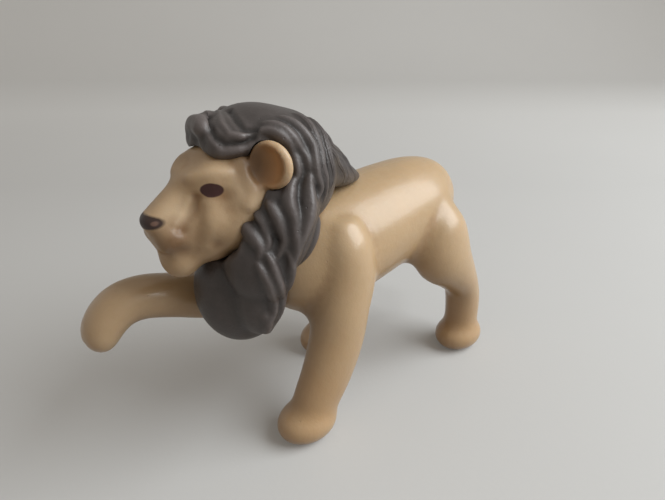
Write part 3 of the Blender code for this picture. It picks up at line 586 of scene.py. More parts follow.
def store_relief(obj, steps, full):
    # How far the skin stands over (1) or under (-1) its own eased form, for wear and painted sheen on
    # ridges and painted shade in hollows
    mesh = obj.data
    points = points_of(mesh)
    edges = np.empty(2 * len(mesh.edges), int)
    mesh.edges.foreach_get("vertices", edges)
    rise = ((points - eased(points, edges.reshape(-1, 2), steps)) * normals_of(mesh)).sum(1)
    relief = mesh.attributes.new("relief", "FLOAT", "POINT")
    relief.data.foreach_set("value", np.clip(rise / full, -1, 1).astype(np.float32))


def normals_of(mesh):
    normals = np.empty(3 * len(mesh.vertices))
    mesh.vertex_normals.foreach_get("vector", normals)
    return normals.reshape(-1, 3)


def stroke(obj, way, reach, rise):
    # Raises the skin along a way, fading to nothing at the reach to each side
    mesh = obj.data
    points = points_of(mesh)
    away = np.full(len(points), np.inf)
    for start, end in zip(way, way[1:]):
        start, span = np.array(start), np.array(end - start)
        along = np.clip((points - start) @ span / (span @ span), 0, 1)
        away = np.minimum(away, np.linalg.norm(points - start - along[:, None] * span, axis=1))
    share = np.clip(1 - away / reach, 0, 1)
    share = share * share * (3 - 2 * share)
    points += (share * rise)[:, None] * normals_of(mesh)
    mesh.vertices.foreach_set("co", points.ravel())
    mesh.update()


def model_skin(obj, strokes, place, width):
    # Ridges and valleys worked into the skin along the listed ways
    for sides, way, reach, rise in strokes:
        for side in sides:
            stroke(obj, [place((side * x, y, z)) for x, y, z in way], reach * width, rise * width)


def finish_piece(obj, name, body, nodes, material):
    obj.name = name
    obj.data.name = name
    obj.data.materials.clear()
    obj.data.materials.append(material)
    obj.data.shade_smooth()
    obj.data.set_sharp_from_angle(angle=math.radians(40))
    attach(obj, body)
    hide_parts(*nodes)
    return obj


# Places

def figure_point(x, y, z):
    return Vector((x, y + FIGURE_SHIFT_Y, z))


def neck_direction():
    return Vector((0.0, -math.cos(NECK_SLOPE), math.sin(NECK_SLOPE)))


def neck_point(reach):
    root = figure_point(0.0, CHEST_Y + NECK_SETBACK, BACK_HEIGHT - NECK_DROP)
    return root + neck_direction() * reach


def shoulder_place():
    return SHOULDER_X, CHEST_Y + SHOULDER_SETBACK, BACK_HEIGHT - SHOULDER_DROP


def hip_place():
    return HIP_X, CHEST_Y + BODY_LENGTH - HIP_SETBACK, BACK_HEIGHT - HIP_DROP


# Body forms

def trunk_sections():
    sections = []
    for along, top, bottom, width in TRUNK_SHARES:
        centre = figure_point(0.0, CHEST_Y + along * BODY_LENGTH, BACK_HEIGHT * (top + bottom) / 2)
        sections.append((centre, BODY_WIDTH * width / 2, BACK_HEIGHT * (top - bottom) / 2))
    return sections


def leg_sections(shares, side, start, step):
    start_x, start_y, start_z = start
    sections = []
    for down, stride, out, thick_side, thick_deep in shares:
        x = start_x + out * (STANCE_HALF_WIDTH - start_x)
        y = start_y + stride * step
        sections.append((figure_point(side * x, y, start_z * (1 - down)),
                         LEG_WIDTH * thick_side / 2, LEG_WIDTH * thick_deep / 2))
    return sections


def reach_point(along, height):
    # A place on the raised foreleg's way from the shoulder to the paw
    shoulder_x, shoulder_y, shoulder_z = shoulder_place()
    x = -shoulder_x - along * (REACH_X - shoulder_x)
    return figure_point(x, shoulder_y - along * REACH_LENGTH, shoulder_z * height)


def raised_sections():
    return [(reach_point(along, height), LEG_WIDTH * thick_side / 2, LEG_WIDTH * thick_deep / 2)
            for along, height, thick_side, thick_deep in RAISED_FORELEG_SHARES]


def add_foot(bm, side, start, step):
    # A ball that reaches below the floor, where the sole is cut flat
    centre = figure_point(side * STANCE_HALF_WIDTH, start[1] + step, FOOT_HEIGHT / 2 - SOLE_DEPTH)
    add_ellipsoid(bm, centre, (FOOT_WIDTH / 2, FOOT_LENGTH / 2, FOOT_HEIGHT / 2))


def add_body_forms(bm):
    add_loft(bm, smooth_sections(trunk_sections()))
    for shares, side, start, step in ((STANDING_FORELEG_SHARES, 1, shoulder_place(), LEFT_FRONT_STEP),
                                      (REAR_LEG_SHARES, 1, hip_place(), LEFT_REAR_STEP),
                                      (STEPPING_LEG_SHARES, -1, hip_place(), RIGHT_REAR_STEP)):
        add_loft(bm, smooth_sections(leg_sections(shares, side, start, step)))
        add_foot(bm, side, start, step)
    add_loft(bm, smooth_sections(raised_sections()))
    along, height, half_x, half_y, half_z = PAW_BALL_SHARES
    add_ellipsoid(bm, reach_point(along, height),
                  (LEG_WIDTH * half_x, LEG_WIDTH * half_y, LEG_WIDTH * half_z))


def tail_root():
    # The knob's outer face, at the end of the trunk's hollow
    before = [row for row in TRUNK_SHARES if row[0] < TAIL_WALL_SHARE][-1]
    after = [row for row in TRUNK_SHARES if row[0] >= TAIL_WALL_SHARE][0]
    part = (TAIL_WALL_SHARE - before[0]) / (after[0] - before[0])
    top = before[1] + part * (after[1] - before[1])
    bottom = before[2] + part * (after[2] - before[2])
    return figure_point(0.0, CHEST_Y + TAIL_WALL_SHARE * BODY_LENGTH - TAIL_ROOT_GAP,
                        BACK_HEIGHT * (top + bottom) / 2 - TAIL_ROOT_DROP)


def tail_point(row):
    back, down, aside = row
    rump_y = CHEST_Y + BODY_LENGTH + FIGURE_SHIFT_Y
    return Vector((-aside * TAIL_ASIDE, rump_y + back * TAIL_STAND_OFF,
                   tail_root().z - down * TAIL_DROP))


def body_skin(look):
    skin = bridge(formed("body_skin", add_body_forms), look.body_grain, look.body_easing, BODY_BRIDGE)
    collar = cylinder("collar", neck_point(COLLAR_ROOT), neck_point(COLLAR_REACH), COLLAR_DIAMETER)
    combine(skin, collar, "UNION")
    # The post's journal passes the collar, and its flange turns in a pocket behind it
    bore(skin, "journal_bore", neck_point(FLANGE_REACH), neck_point(COLLAR_REACH + CUT_OVERRUN),
         JOURNAL_DIAMETER)
    bore(skin, "flange_pocket", neck_point(FLANGE_REACH - FIT_GAP),
         neck_point(FLANGE_REACH + FLANGE_THICKNESS + FIT_GAP), FLANGE_DIAMETER)
    outward = Vector((0.0, CUT_OVERRUN, 0.0))
    bore(skin, "knob_room", tail_root() - outward, tail_root() + Vector((0.0, FIT_GAP, 0.0)), KNOB_DIAMETER)
    return bore(skin, "tail_bore", tail_root() - outward / 2, tail_point(TAIL_SHARES[0]) + outward,
                TAIL_DIAMETER)


def body_half(skin, side):
    half = collection_object("half", skin.data.copy())
    inner, outer = side * SEAM_GAP / 2, side * BODY_WIDTH
    side_block = block("side_block", Vector((min(inner, outer), -BODY_LENGTH, 0.0)),
                       Vector((max(inner, outer), BODY_LENGTH, 2 * BACK_HEIGHT)))
    return combine(half, side_block, "INTERSECT")


# Head forms

def head_point(x, y, z):
    return neck_point(0.0) + Vector((x, y - HEAD_FORWARD, z + HEAD_RISE))


def head_place(shares):
    return head_point(*head_half(shares))


def head_half(shares):
    x, y, z = shares
    return (x * HEAD_WIDTH, y * HEAD_LENGTH, z * HEAD_HEIGHT)


def add_head_forms(bm):
    for row in HEAD_MIDDLE_SHARES:
        add_ellipsoid(bm, head_place(row[:3]), head_half(row[3:]))
    for side in (-1, 1):
        for row in HEAD_SIDE_SHARES:
            add_ellipsoid(bm, head_place((side * row[0], row[1], row[2])), head_half(row[3:]))
    sections = [(head_place((0.0, along, up)), half_width * HEAD_WIDTH, half_height * HEAD_HEIGHT)
                for along, up, half_width, half_height in NOSE_SHARES]
    add_loft(bm, smooth_sections(sections))


def ear_matrix(side):
    turn = Matrix.Rotation(side * EAR_TURN, 4, "Z") @ Matrix.Rotation(side * EAR_LEAN, 4, "Y")
    return Matrix.Translation(head_point(side * EAR_X, EAR_SETBACK, EAR_RISE)) @ turn


def ears(name, share=1.0, depth_share=0.0, shift_share=0.0):
    # A flattened ball on each side, moved forward and towards the middle by shares of its sizes
    bm = bmesh.new()
    half = (EAR_DIAMETER * share / 2, EAR_THICKNESS / 2, EAR_DIAMETER * share / 2)
    for side in (-1, 1):
        shift = Matrix.Translation((-side * EAR_DIAMETER * shift_share, -EAR_THICKNESS * depth_share, 0.0))
        bmesh.ops.create_uvsphere(bm, u_segments=2 * RING_SIDES, v_segments=RING_SIDES, radius=1.0,
                                  matrix=ear_matrix(side) @ shift @ Matrix.Diagonal((*half, 1.0)))
    return loose_object(name, bm)


def head_skin(look):
    skin = bridge(formed("head_skin", add_head_forms), look.head_grain, look.head_easing, HEAD_BRIDGE)
    combine(skin, ears("ears"), "UNION")
    dishes = ears("ear_dishes", EAR_DISH_SHARE, EAR_DISH_DEPTH_SHARE, EAR_DISH_SHIFT_SHARE)
    combine(skin, dishes, "DIFFERENCE")
    return fuse(skin, look.head_grain, look.ear_easing)


def head_shell(look):
    head = head_skin(look)
    model_skin(head, FACE_STROKES, head_place, HEAD_WIDTH)
    return head


def cut_head(head):
    # The shell ends inside the mane, at a rim square to the neck, and takes the post's plug
    rear = COLLAR_REACH + TURN_GAP
    rim = rear + HEAD_RIM_SETBACK
    front = cylinder("front_block", neck_point(rim), neck_point(rim + 2 * HEAD_LENGTH), 2 * HEAD_LENGTH)
    combine(head, front, "INTERSECT")
    return bore(head, "plug_bore", neck_point(rear - CUT_OVERRUN), neck_point(rear + PLUG_LENGTH),
                PLUG_DIAMETER)


# Mane forms

def mane_place(shares):
    x, y, z = shares
    return neck_point(0.0) + Vector((x * MANE_WIDTH, y * MANE_DEPTH - MANE_FORWARD,
                                     z * MANE_HEIGHT + MANE_RISE))


def add_mane_ball(bm, side, row):
    half = (row[3] * MANE_WIDTH, row[4] * MANE_DEPTH, row[5] * MANE_HEIGHT)
    tilt = Matrix.Rotation(math.radians(-row[6]), 4, "X")
    add_ellipsoid(bm, mane_place((side * row[0], row[1], row[2])), half, tilt)


def mane_loft(shares):
    return [(mane_place((0.0, along, up)), half_width * MANE_WIDTH, half_height * MANE_HEIGHT)
            for along, up, half_width, half_height in shares]


def add_mane_forms(bm):
    for row in MANE_MIDDLE_SHARES:
        add_mane_ball(bm, 1, row)
    for side in (-1, 1):
        for row in MANE_SIDE_SHARES:
            add_mane_ball(bm, side, row)
    for shares in (FORELOCK_SHARES, CAPE_SHARES):
        add_loft(bm, smooth_sections(mane_loft(shares)))


def mane_base(look):
    return fuse(formed("mane_base", add_mane_forms), look.mane_grain * 2, look.mane_base_easing)


def direction(turn, rise):
    return math.sin(turn) * math.cos(rise), -math.cos(turn) * math.cos(rise), math.sin(rise)


def lock_ways():
    # Every lock of both sides: its width share and the directions from the middle that it runs through
    return [(width, [direction(math.radians(side * turn), math.radians(rise)) for turn, rise in way])
            for side in (-1, 1) for width, way in LOCKS]


def line_object(name, ways):
    # The lines that ridges grow along, with each way's width share and number on its points
    points, edges, widths, numbers = [], [], [], []
    for number, (width, way) in enumerate(ways):
        first = len(points)
        points += [tuple(place) for place in way]
        widths += [width] * len(way)
        numbers += [number % len(LOCKS)] * len(way)
        edges += [(index, index + 1) for index in range(first, len(points) - 1)]
    mesh = bpy.data.meshes.new(name)
    mesh.from_pydata(points, edges, [])
    for attribute, values in (("lock_width", widths), ("number", numbers)):
        mesh.attributes.new(attribute, "FLOAT", "POINT").data.foreach_set("value", values)
    return collection_object(name, mesh)


def store_strands(obj, locks):
    # Each point of the skin takes its place across the nearest lock, shifted lock by lock
    values = {}
    for name in ("across", "number"):
        values[name] = np.empty(len(locks.data.vertices))
        locks.data.attributes[name].data.foreach_get("value", values[name])
    strand = values["across"] + values["number"] * STRAND_SHIFT
    tree = KDTree(len(strand))
    for index, place in enumerate(points_of(locks.data)):
        tree.insert(place, index)
    tree.balance()
    nearest = [tree.find(place)[1] for place in points_of(obj.data)]
    obj.data.attributes.new("strand", "FLOAT", "POINT").data.foreach_set("value", strand[nearest])


def turning_room():
    # What the body and the collar sweep past, as the head sees them turn
    body = bridge(formed("turning_body", add_body_forms), SWEEP_VOXEL, 2, BODY_BRIDGE)
    room = grown(body, "turning_body_room", BODY_CLEARANCE)
    collar = cylinder("collar_room", neck_point(COLLAR_ROOT), neck_point(COLLAR_REACH + TURN_GAP),
                      COLLAR_DIAMETER + 2 * TURN_GAP)
    still = joined("turning_still", [room, collar])
    pivot = neck_point(0.0)
    bm = bmesh.new()
    for step in range(TURN_STEPS):
        angle = -BEARD_LEFT_TURN + step * (BEARD_LEFT_TURN + BEARD_RIGHT_TURN) / (TURN_STEPS - 1)
        mesh = still.data.copy()
        mesh.transform(Matrix.Translation(pivot) @ Matrix.Rotation(angle, 4, neck_direction())
                       @ Matrix.Translation(-pivot))
        bm.from_mesh(mesh)
        bpy.data.meshes.remove(mesh)
    for obj in (body, room, collar, still):
        drop(obj)
    return fuse(loose_object("turning_room", bm), SWEEP_VOXEL, 1)


def grown(obj, name, distance):
    room = collection_object(name, obj.data.copy())
    swell = room.modifiers.new("Swell", "DISPLACE")
    swell.strength = distance
    swell.mid_level = 0.0
    return bake(room)


# Node trees

class Wire:
    """A socket in a node tree, with maths written as Python expressions."""

    def __init__(self, recipe, socket):
        self.recipe = recipe
        self.socket = socket

    def maths(self, operation, *values):
        return self.recipe.add("ShaderNodeMath", {"operation": operation}, dict(enumerate(values)))

    def __add__(self, other):
        return self.maths("ADD", self, other)

    __radd__ = __add__

    def __sub__(self, other):
        return self.maths("SUBTRACT", self, other)

    def __rsub__(self, other):
        return self.maths("SUBTRACT", other, self)

    def __mul__(self, other):
        return self.maths("MULTIPLY", self, other)

    __rmul__ = __mul__

    def __truediv__(self, other):
        return self.maths("DIVIDE", self, other)

    def __pow__(self, other):
        return self.maths("POWER", self, other)

    def sine(self):
        return self.maths("SINE", self)

    def cosine(self):
        return self.maths("COSINE", self)

    def most(self, other):
        return self.maths("MAXIMUM", self, other)

    def held(self):
        # Kept between nothing and one
        return self.maths("MINIMUM", self.most(0.0), 1.0)


class Recipe:
    """Builds one node tree, node by node."""

    def __init__(self, tree):
        self.tree = tree

    def add(self, kind, settings=None, sockets=None, output=0):
        node = self.tree.nodes.new(kind)
        for name, value in (settings or {}).items():
            setattr(node, name, value)
        for key, value in (sockets or {}).items():
            if isinstance(value, Wire):
                self.tree.links.new(value.socket, node.inputs[key])
            else:
                node.inputs[key].default_value = value
        return Wire(self, node.outputs[output]) if len(node.outputs) else node

    def mix(self, share, first, second):
        return self.add("ShaderNodeMix", {"data_type": "RGBA"}, {0: share, 6: first, 7: second}, 2)

    def noise(self, place, scale, detail=3.0, roughness=0.5, output="Fac"):
        return self.add("ShaderNodeTexNoise", None,
                        {"Vector": place, "Scale": scale, "Detail": detail, "Roughness": roughness}, output)

    def vector(self, operation, *values, output=0):
        return self.add("ShaderNodeVectorMath", {"operation": operation}, dict(enumerate(values)), output)

    def axis(self, place, name):
        return self.add("ShaderNodeSeparateXYZ", None, {"Vector": place}, name)

    def attribute(self, name):
        return self.add("ShaderNodeAttribute", {"attribute_name": name}, output="Fac")

    def stored(self, name, kind="FLOAT"):
        return self.add("GeometryNodeInputNamedAttribute", {"data_type": kind}, {"Name": name})

    def store(self, geometry, name, value, kind="FLOAT"):
        return self.add("GeometryNodeStoreNamedAttribute", {"data_type": kind, "domain": "POINT"},
                        {"Geometry": geometry, "Name": name, "Value": value})

    def ball(self, place, centre, half_sizes, edge):
        # One inside an ellipsoid and nothing outside it, with an edge of that share
        away = self.vector("SUBTRACT", place, tuple(centre))
        reach = self.vector("LENGTH", self.vector("DIVIDE", away, tuple(half_sizes)), output="Value")
        return ((1.0 - reach) / edge + 0.5).held()


def opaque(colour):
    return (*colour, 1.0)


def scaled(colour, share):
    return opaque([channel * share for channel in colour])


class Plastic(Recipe):
    """The nodes of one material, up to the shader that ends them."""

    def __init__(self, name, colour):
        self.material = bpy.data.materials.new(name)
        self.material.use_nodes = True
        self.material.node_tree.nodes.clear()
        self.material.diffuse_color = opaque(colour)
        super().__init__(self.material.node_tree)
        self.place = self.add("ShaderNodeTexCoord", output="Object")

    def mould(self, colour, crease_shade, wear_and_sheen):
        # Mottled plastic with painted shade in its hollows and paler ridges, partly wear and partly painted
        # sheen
        self.relief = self.attribute("relief")
        self.cloud = self.noise(self.place, *CLOUD_NOISE)
        self.patch = self.noise(self.place, *PATCH_NOISE)
        tone = self.mix((self.cloud * 1.6 - 0.3).held(), scaled(colour, 0.92), scaled(colour, 1.06))
        # Painted shade in the hollows
        low = ((0.0 - self.relief) * 1.7 + (self.patch - 0.5) * 0.5).held()
        tone = self.mix(low, tone, opaque(crease_shade))
        # Paler ridges: wear and painted sheen
        high = (self.relief * 1.5 + (self.patch - 0.55) * 0.6).held()
        return self.mix(high * 0.6, tone, opaque(wear_and_sheen))

    def fine_height(self):
        # Grain left by the mould, with a few pores
        grain = self.noise(self.place, *GRAIN_NOISE)
        pores = self.add("ShaderNodeTexVoronoi", None, {"Vector": self.place, "Scale": PORE_SCALE},
                         "Distance")
        pits = (1.0 - pores * 14.0).held()
        return grain * 0.35 + self.patch * 0.65 - pits * 1.2

    def end(self, colour, roughness, height, depth, constants):
        # What varies is linked, what doesn't is set on its own socket
        normal = self.add("ShaderNodeBump", None, {"Height": height, "Strength": 1.0, "Distance": depth})
        sockets = {"Base Color": colour, "Roughness": roughness, "Normal": normal, **constants}
        shader = self.add("ShaderNodeBsdfPrincipled", None, sockets)
        self.add("ShaderNodeOutputMaterial", None, {"Surface": shader})
        return self.material


def tan_material(look):
    # The body's plastic, darker and browner towards the feet
    plastic = Plastic("tan_plastic", look.tan)
    tone = plastic.mould(look.tan, look.tan_crease_shade, look.tan_wear_and_sheen)
    cloud, patch = plastic.cloud, plastic.patch
    height = plastic.axis(plastic.place, "Z")
    footward = ((FOOT_TONE_HEIGHT - height) / FOOT_TONE_HEIGHT * 1.6 + (cloud - 0.5)).held()
    tone = plastic.mix(footward * 0.5, tone, opaque(look.foot_tone))
    rubbed = (plastic.relief * 0.5 + 0.5).held()
    roughness = 0.47 - rubbed * 0.12 + (patch - 0.5) * 0.14 + (cloud - 0.5) * 0.10
    return plastic.end(tone, roughness, plastic.fine_height(), TAN_GRAIN, TAN_CONSTANTS)


def face_material(look):
    # The head's plastic with its prints, painted highlights, painted glow and painted shade, whose edges
    # wobble; the matt prints take its coat away
    plastic = Plastic("face_plastic", look.face)
    tone = plastic.mould(look.face, look.tan_crease_shade, look.tan_wear_and_sheen)
    roughness = 0.46 + (plastic.patch - 0.5) * 0.14 + (plastic.cloud - 0.5) * 0.08
    coat = FACE_COAT
    wobble = plastic.noise(plastic.place, 900.0, 2.0, output="Color")
    wobble = plastic.vector("SUBTRACT", wobble, (0.5, 0.5, 0.5))
    place = plastic.vector("MULTIPLY_ADD", wobble, (PRINT_WOBBLE,) * 3, plastic.place)
    for name, (x, y, z), half_sizes, edge, mark_roughness in PRINTS_AND_PAINTED_LIGHT:
        for side in ((-1, 1) if x else (1,)):
            mask = plastic.ball(place, head_place((side * x, y, z)), head_half(half_sizes), edge)
            tone = plastic.mix(mask, tone, opaque(getattr(look, name)))
            roughness = roughness + mask * (mark_roughness - 0.45)
            if name in MATT_PRINTS:
                coat = (1.0 - mask) * coat
    constants = {**TAN_CONSTANTS, "Coat Weight": coat}
    return plastic.end(tone, roughness, plastic.fine_height(), FACE_GRAIN, constants)


def mane_material(look, name="mane_plastic"):
    plastic = Plastic(name, look.mane)
    tone = plastic.mould(look.mane, look.mane_crease_shade, look.mane_wear_and_sheen)
    strand = plastic.attribute("strand")
    groove = (strand * look.strand_turns + (plastic.cloud + plastic.patch) * 3.0).sine() * 0.5 + 0.5
    # The strands show from the middle of the mane towards its back
    start = mane_place((0.0, STRAND_START_SHARE, 0.0)).y
    backward = ((plastic.axis(plastic.place, "Y") - start) / (STRAND_FADE_SHARE * MANE_DEPTH)).held()
    valley = (1.0 - groove) * backward
    # Painted shade in the strand grooves
    tone = plastic.mix(valley * 0.35, tone, opaque(look.mane_crease_shade))
    rubbed = (plastic.relief * 0.5 + 0.5).held()
    roughness = 0.52 - rubbed * 0.10 + (plastic.patch - 0.5) * 0.16
    return plastic.end(tone, roughness, plastic.fine_height() - valley * 0.9, MANE_GRAIN, MANE_CONSTANTS)


def post_material(look):
    # Plain turned plastic with painted shade in its hollows
    plastic = Plastic("post_plastic", look.post)
    tone = plastic.mould(look.post, look.tan_crease_shade, look.post)
    roughness = 0.40 + (plastic.patch - 0.5) * 0.2 + (plastic.cloud - 0.5) * 0.1
    return plastic.end(tone, roughness, plastic.fine_height(), POST_GRAIN, {})


LOCK_INPUTS = (("Lines", "Geometry", None), ("Base", "Object", None), ("Middle", "Vector", None),
               ("Width", "Float", 0.0046), ("Height", "Float", 0.0028), ("Ridges", "Float", 1.0),
               ("Rings", "Int", 48), ("Sides", "Int", 36))


def make_lock_tree():
    # Locks that follow lines: each line is cast out from a middle onto a base, and a tapered ridge
    # runs along it
    tree = bpy.data.node_groups.new("locks", "GeometryNodeTree")
    for name, kind, default in LOCK_INPUTS:
        socket = tree.interface.new_socket(name, in_out="INPUT", socket_type=f"NodeSocket{kind}")
        if default is not None:
            socket.default_value = default
    tree.interface.new_socket("Locks", in_out="OUTPUT", socket_type="NodeSocketGeometry")
    recipe = Recipe(tree)
    group = recipe.add("NodeGroupInput").socket.node
    given = {socket.name: Wire(recipe, socket) for socket in group.outputs if socket.name}
    line = cast_lines(recipe, given)
    along = recipe.add("GeometryNodeSplineParameter", output="Factor")
    swell = ((along ** 0.75) * math.pi).sine().most(0.0) ** 0.75
    locks = recipe.add("GeometryNodeCurveToMesh", None, {
        "Curve": line, "Profile Curve": ridge_profile(recipe, given),
        "Scale": (swell * 0.92 + 0.08) * recipe.stored("lock_width"), "Fill Caps": True})
    locks = recipe.add("GeometryNodeRealizeInstances", None, {"Geometry": locks})
    recipe.add("NodeGroupOutput", None, {"Locks": locks})
    return tree


def cast_lines(recipe, given):
    # The lines as smooth curves on the base, with its outward direction as their own
    line = recipe.add("GeometryNodeMeshToCurve", None, {"Mesh": given["Lines"]})
    line = recipe.add("GeometryNodeCurveSplineType", {"spline_type": "CATMULL_ROM"}, {"Curve": line})
    line = recipe.add("GeometryNodeResampleCurve", {"mode": "COUNT"},
                      {"Curve": line, "Count": given["Rings"]})
    base = recipe.add("GeometryNodeObjectInfo", None, {"Object": given["Base"]}, "Geometry")
    way = recipe.vector("NORMALIZE", recipe.add("GeometryNodeInputPosition"))
    hit = recipe.add("GeometryNodeRaycast", None, {
        "Target Geometry": base, "Source Position": given["Middle"], "Ray Direction": way,
        "Ray Length": 0.1}, "Hit Position")
    outward = Wire(recipe, hit.socket.node.outputs["Hit Normal"])
    line = recipe.store(line, "outward", outward, "FLOAT_VECTOR")
    line = recipe.add("GeometryNodeSetPosition", None, {"Geometry": line, "Position": hit})
    return recipe.add("GeometryNodeSetCurveNormal", {"mode": "FREE"},
                      {"Curve": line, "Normal": recipe.stored("outward", "FLOAT_VECTOR")})


def ridge_profile(recipe, given):
    # An oval ring, shaped by as many waves across as there are ridges
    ring = recipe.add("GeometryNodeCurvePrimitiveCircle", {"mode": "RADIUS"},
                      {"Resolution": given["Sides"], "Radius": 0.5})
    place = recipe.add("GeometryNodeInputPosition")
    ring = recipe.store(ring, "across", recipe.axis(place, "Y") * 2.0)
    ridge = (recipe.stored("across") * (math.pi * given["Ridges"])).cosine() * 0.13 + 0.87
    shape = recipe.add("ShaderNodeCombineXYZ", None, {
        "X": ridge * given["Height"], "Y": given["Width"], "Z": 1.0})
    return recipe.add("GeometryNodeSetPosition", None, {
        "Geometry": ring, "Position": recipe.vector("MULTIPLY", place, shape)})


def grow_locks(lines, base, middle, width, height):
    # The lines' object becomes the mesh of the ridges along them
    modifier = lines.modifiers.new("Locks", "NODES")
    modifier.node_group = make_lock_tree()
    values = {"Base": base, "Middle": tuple(middle), "Width": width, "Height": height}
    for item in modifier.node_group.interface.items_tree:
        if item.in_out == "INPUT" and item.name in values:
            modifier[item.identifier] = values[item.name]
    return bake(lines)


# Pieces

def length_value(name, description, default, least):
    return bpy.props.FloatProperty(name=name, description=description, default=default, min=least,
                                   unit="LENGTH", subtype="DISTANCE")


def count_value(name, description, default):
    return bpy.props.IntProperty(name=name, description=description, default=default, min=0)


def colour_value(name, description, default):
    return bpy.props.FloatVectorProperty(name=name, description=description, default=default,
                                         min=0.0, max=1.0, subtype="COLOR")


class ToyLionLook(bpy.types.PropertyGroup):
    """Sizes of the fine skins, colours of the plastics, and colours of the painted shade, highlights and
    glow on them.
    """

    body_grain: length_value("Body grain", "Size of the smallest cell of the body's skin", 0.00038, 0.0002)
    head_grain: length_value("Head grain", "Size of the smallest cell of the head's skin", 0.00028, 0.00015)
    mane_grain: length_value("Mane grain", "Size of the smallest cell of the mane's skin", 0.00030, 0.0002)
    body_easing: count_value("Body easing", "How often the body's fused skin is smoothed", 40)
    head_easing: count_value("Head easing", "How often the head's fused skin is smoothed", 22)
    ear_easing: count_value("Ear easing", "How often the skin is smoothed once it has ears", 5)
    mane_base_easing: count_value("Mane base easing", "How often the form under the locks is smoothed", 10)
    mane_easing: count_value("Mane easing", "How often the skin over the locks is smoothed", 2)
    lock_width: length_value("Lock width", "Width of a full lock of the mane", 0.0031, 0.001)
    lock_height: length_value("Lock height", "Full height of a lock, half of it over the mane's base",
                              0.0028, 0.0005)
    strand_turns: bpy.props.FloatProperty(
        name="Strand spacing", description="Turns of the strands' wave over half a lock's width",
        default=17.0, min=0.0)
    tan: colour_value("Tan plastic", "Colour of the body's plastic", (0.485, 0.335, 0.185))
    # Painted shade in the body's creases, also used in the creases of the face and the neck post
    tan_crease_shade: colour_value("Dirt in tan plastic", "Colour in the body's creases", (0.24, 0.12, 0.045))
    # Wear and painted sheen on the ridges of the body and the face
    tan_wear_and_sheen: colour_value("Rubbed tan plastic", "Colour of the body's rubbed ridges", (0.58, 0.43, 0.27))
    # Darker, browner tone of the legs' lower parts
    foot_tone: colour_value("Handled tan plastic", "Colour of the legs' lower parts", (0.40, 0.235, 0.105))
    face: colour_value("Face plastic", "Colour of the head's plastic", (0.47, 0.33, 0.195))
    # Painted highlights on the bridge of the nose and the temples
    face_highlight: colour_value("Rubbed face plastic", "Colour of the rubbed bridge of the nose and temples",
                            (0.60, 0.45, 0.29))
    # Painted glow of light shining through the thin ears
    ear: colour_value("Ear bowls", "Colour inside the ears", (0.50, 0.27, 0.115))
    eye: colour_value("Eyes", "Colour of the printed eyes", (0.045, 0.011, 0.009))
    nose: colour_value("Nose", "Colour of the printed nose", (0.040, 0.020, 0.015))
    # Painted highlight on the nostrils
    nostril_highlight: colour_value("Nostrils", "Colour of the rubbed nostrils", (0.17, 0.10, 0.075))
    # Stain with painted shade at the corners of the mouth, and painted shade in the ear bowls
    stain_and_shade: colour_value("Mouth", "Colour of the soiled corners of the mouth", (0.20, 0.115, 0.055))
    mane: colour_value("Mane plastic", "Colour of the mane's plastic", (0.050, 0.041, 0.038))
    # Painted shade between the locks and in the strand grooves
    mane_crease_shade: colour_value("Dark of the mane", "Colour between the locks", (0.014, 0.011, 0.010))
    # Wear and painted sheen on the locks' ridges
    mane_wear_and_sheen: colour_value("Rubbed mane", "Colour of the locks' rubbed ridges", (0.17, 0.145, 0.14))
    post: colour_value("Neck post", "Colour of the neck post", (0.50, 0.49, 0.47))
    floor: colour_value("Floor", "Colour of the floor", (0.515, 0.52, 0.515))
    floor_bounce: colour_value("Floor's own light", "Colour that the floor throws back on the lion",
                               (0.22, 0.18, 0.14))
    backdrop: colour_value("Backdrop", "Pale light that the camera sees on the floor's raised back",
                           (0.15, 0.15, 0.144))
    horizon: colour_value("Horizon", "Pale light that the camera sees beyond the floor",
                          (0.56, 0.56, 0.545))
    window_power: bpy.props.FloatProperty(
        name="Window light", description="Power of the large soft lamp", default=5.1, min=0.0,
        unit="POWER")
    sky: bpy.props.FloatProperty(
        name="Room light", description="Strength of the even light from all sides", default=0.33, min=0.0)


class TOYLION_OT_body(bpy.types.Operator):
    """Mould the two body halves with their legs"""
    bl_idname = "toylion.body"
    bl_label = "Body halves"

    def execute(self, context):
        look = context.scene.toy_lion
        material = tan_material(look)
        skin = body_skin(look)
        for side, node in ((1, "body_left_half"), (-1, "body_right_half")):
            half = body_half(skin, side)
            store_relief(half, *BODY_RELIEF)
            finish_piece(half, node.replace("half", "moulding"), "body", [node], material)
        drop(skin)
        return {"FINISHED"}


class TOYLION_OT_tail(bpy.types.Operator):
    """Mould the tail and its tuft"""
    bl_idname = "toylion.tail"
    bl_label = "Tail and tuft"

    def execute(self, context):
        look = context.scene.toy_lion
        tail = tail_tube()
        store_relief(tail, *TAIL_RELIEF)
        finish_piece(tail, "tail_moulding", "body", ["tail"], bpy.data.materials["tan_plastic"])
        tuft = tuft_skin(look)
        store_relief(tuft, *TUFT_RELIEF)
        finish_piece(tuft, "tuft_moulding", "body", ["tail_tuft"], mane_material(look, "tuft_plastic"))
        return {"FINISHED"}


class TOYLION_OT_post(bpy.types.Operator):
    """Finish the neck post"""
    bl_idname = "toylion.post"
    bl_label = "Neck post"

    def execute(self, context):
        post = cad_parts["neck_post"]
        for material_slot in post.material_slots:
            material_slot.material = post_material(context.scene.toy_lion)
        return {"FINISHED"}


class TOYLION_OT_head(bpy.types.Operator):
    """Mould the head and print its face"""
    bl_idname = "toylion.head"
    bl_label = "Head"

    def execute(self, context):
        look = context.scene.toy_lion
        head = cut_head(head_shell(look))
        store_relief(head, *HEAD_RELIEF)
        finish_piece(head, "head_moulding", "head", ["head_shell"], face_material(look))
        return {"FINISHED"}


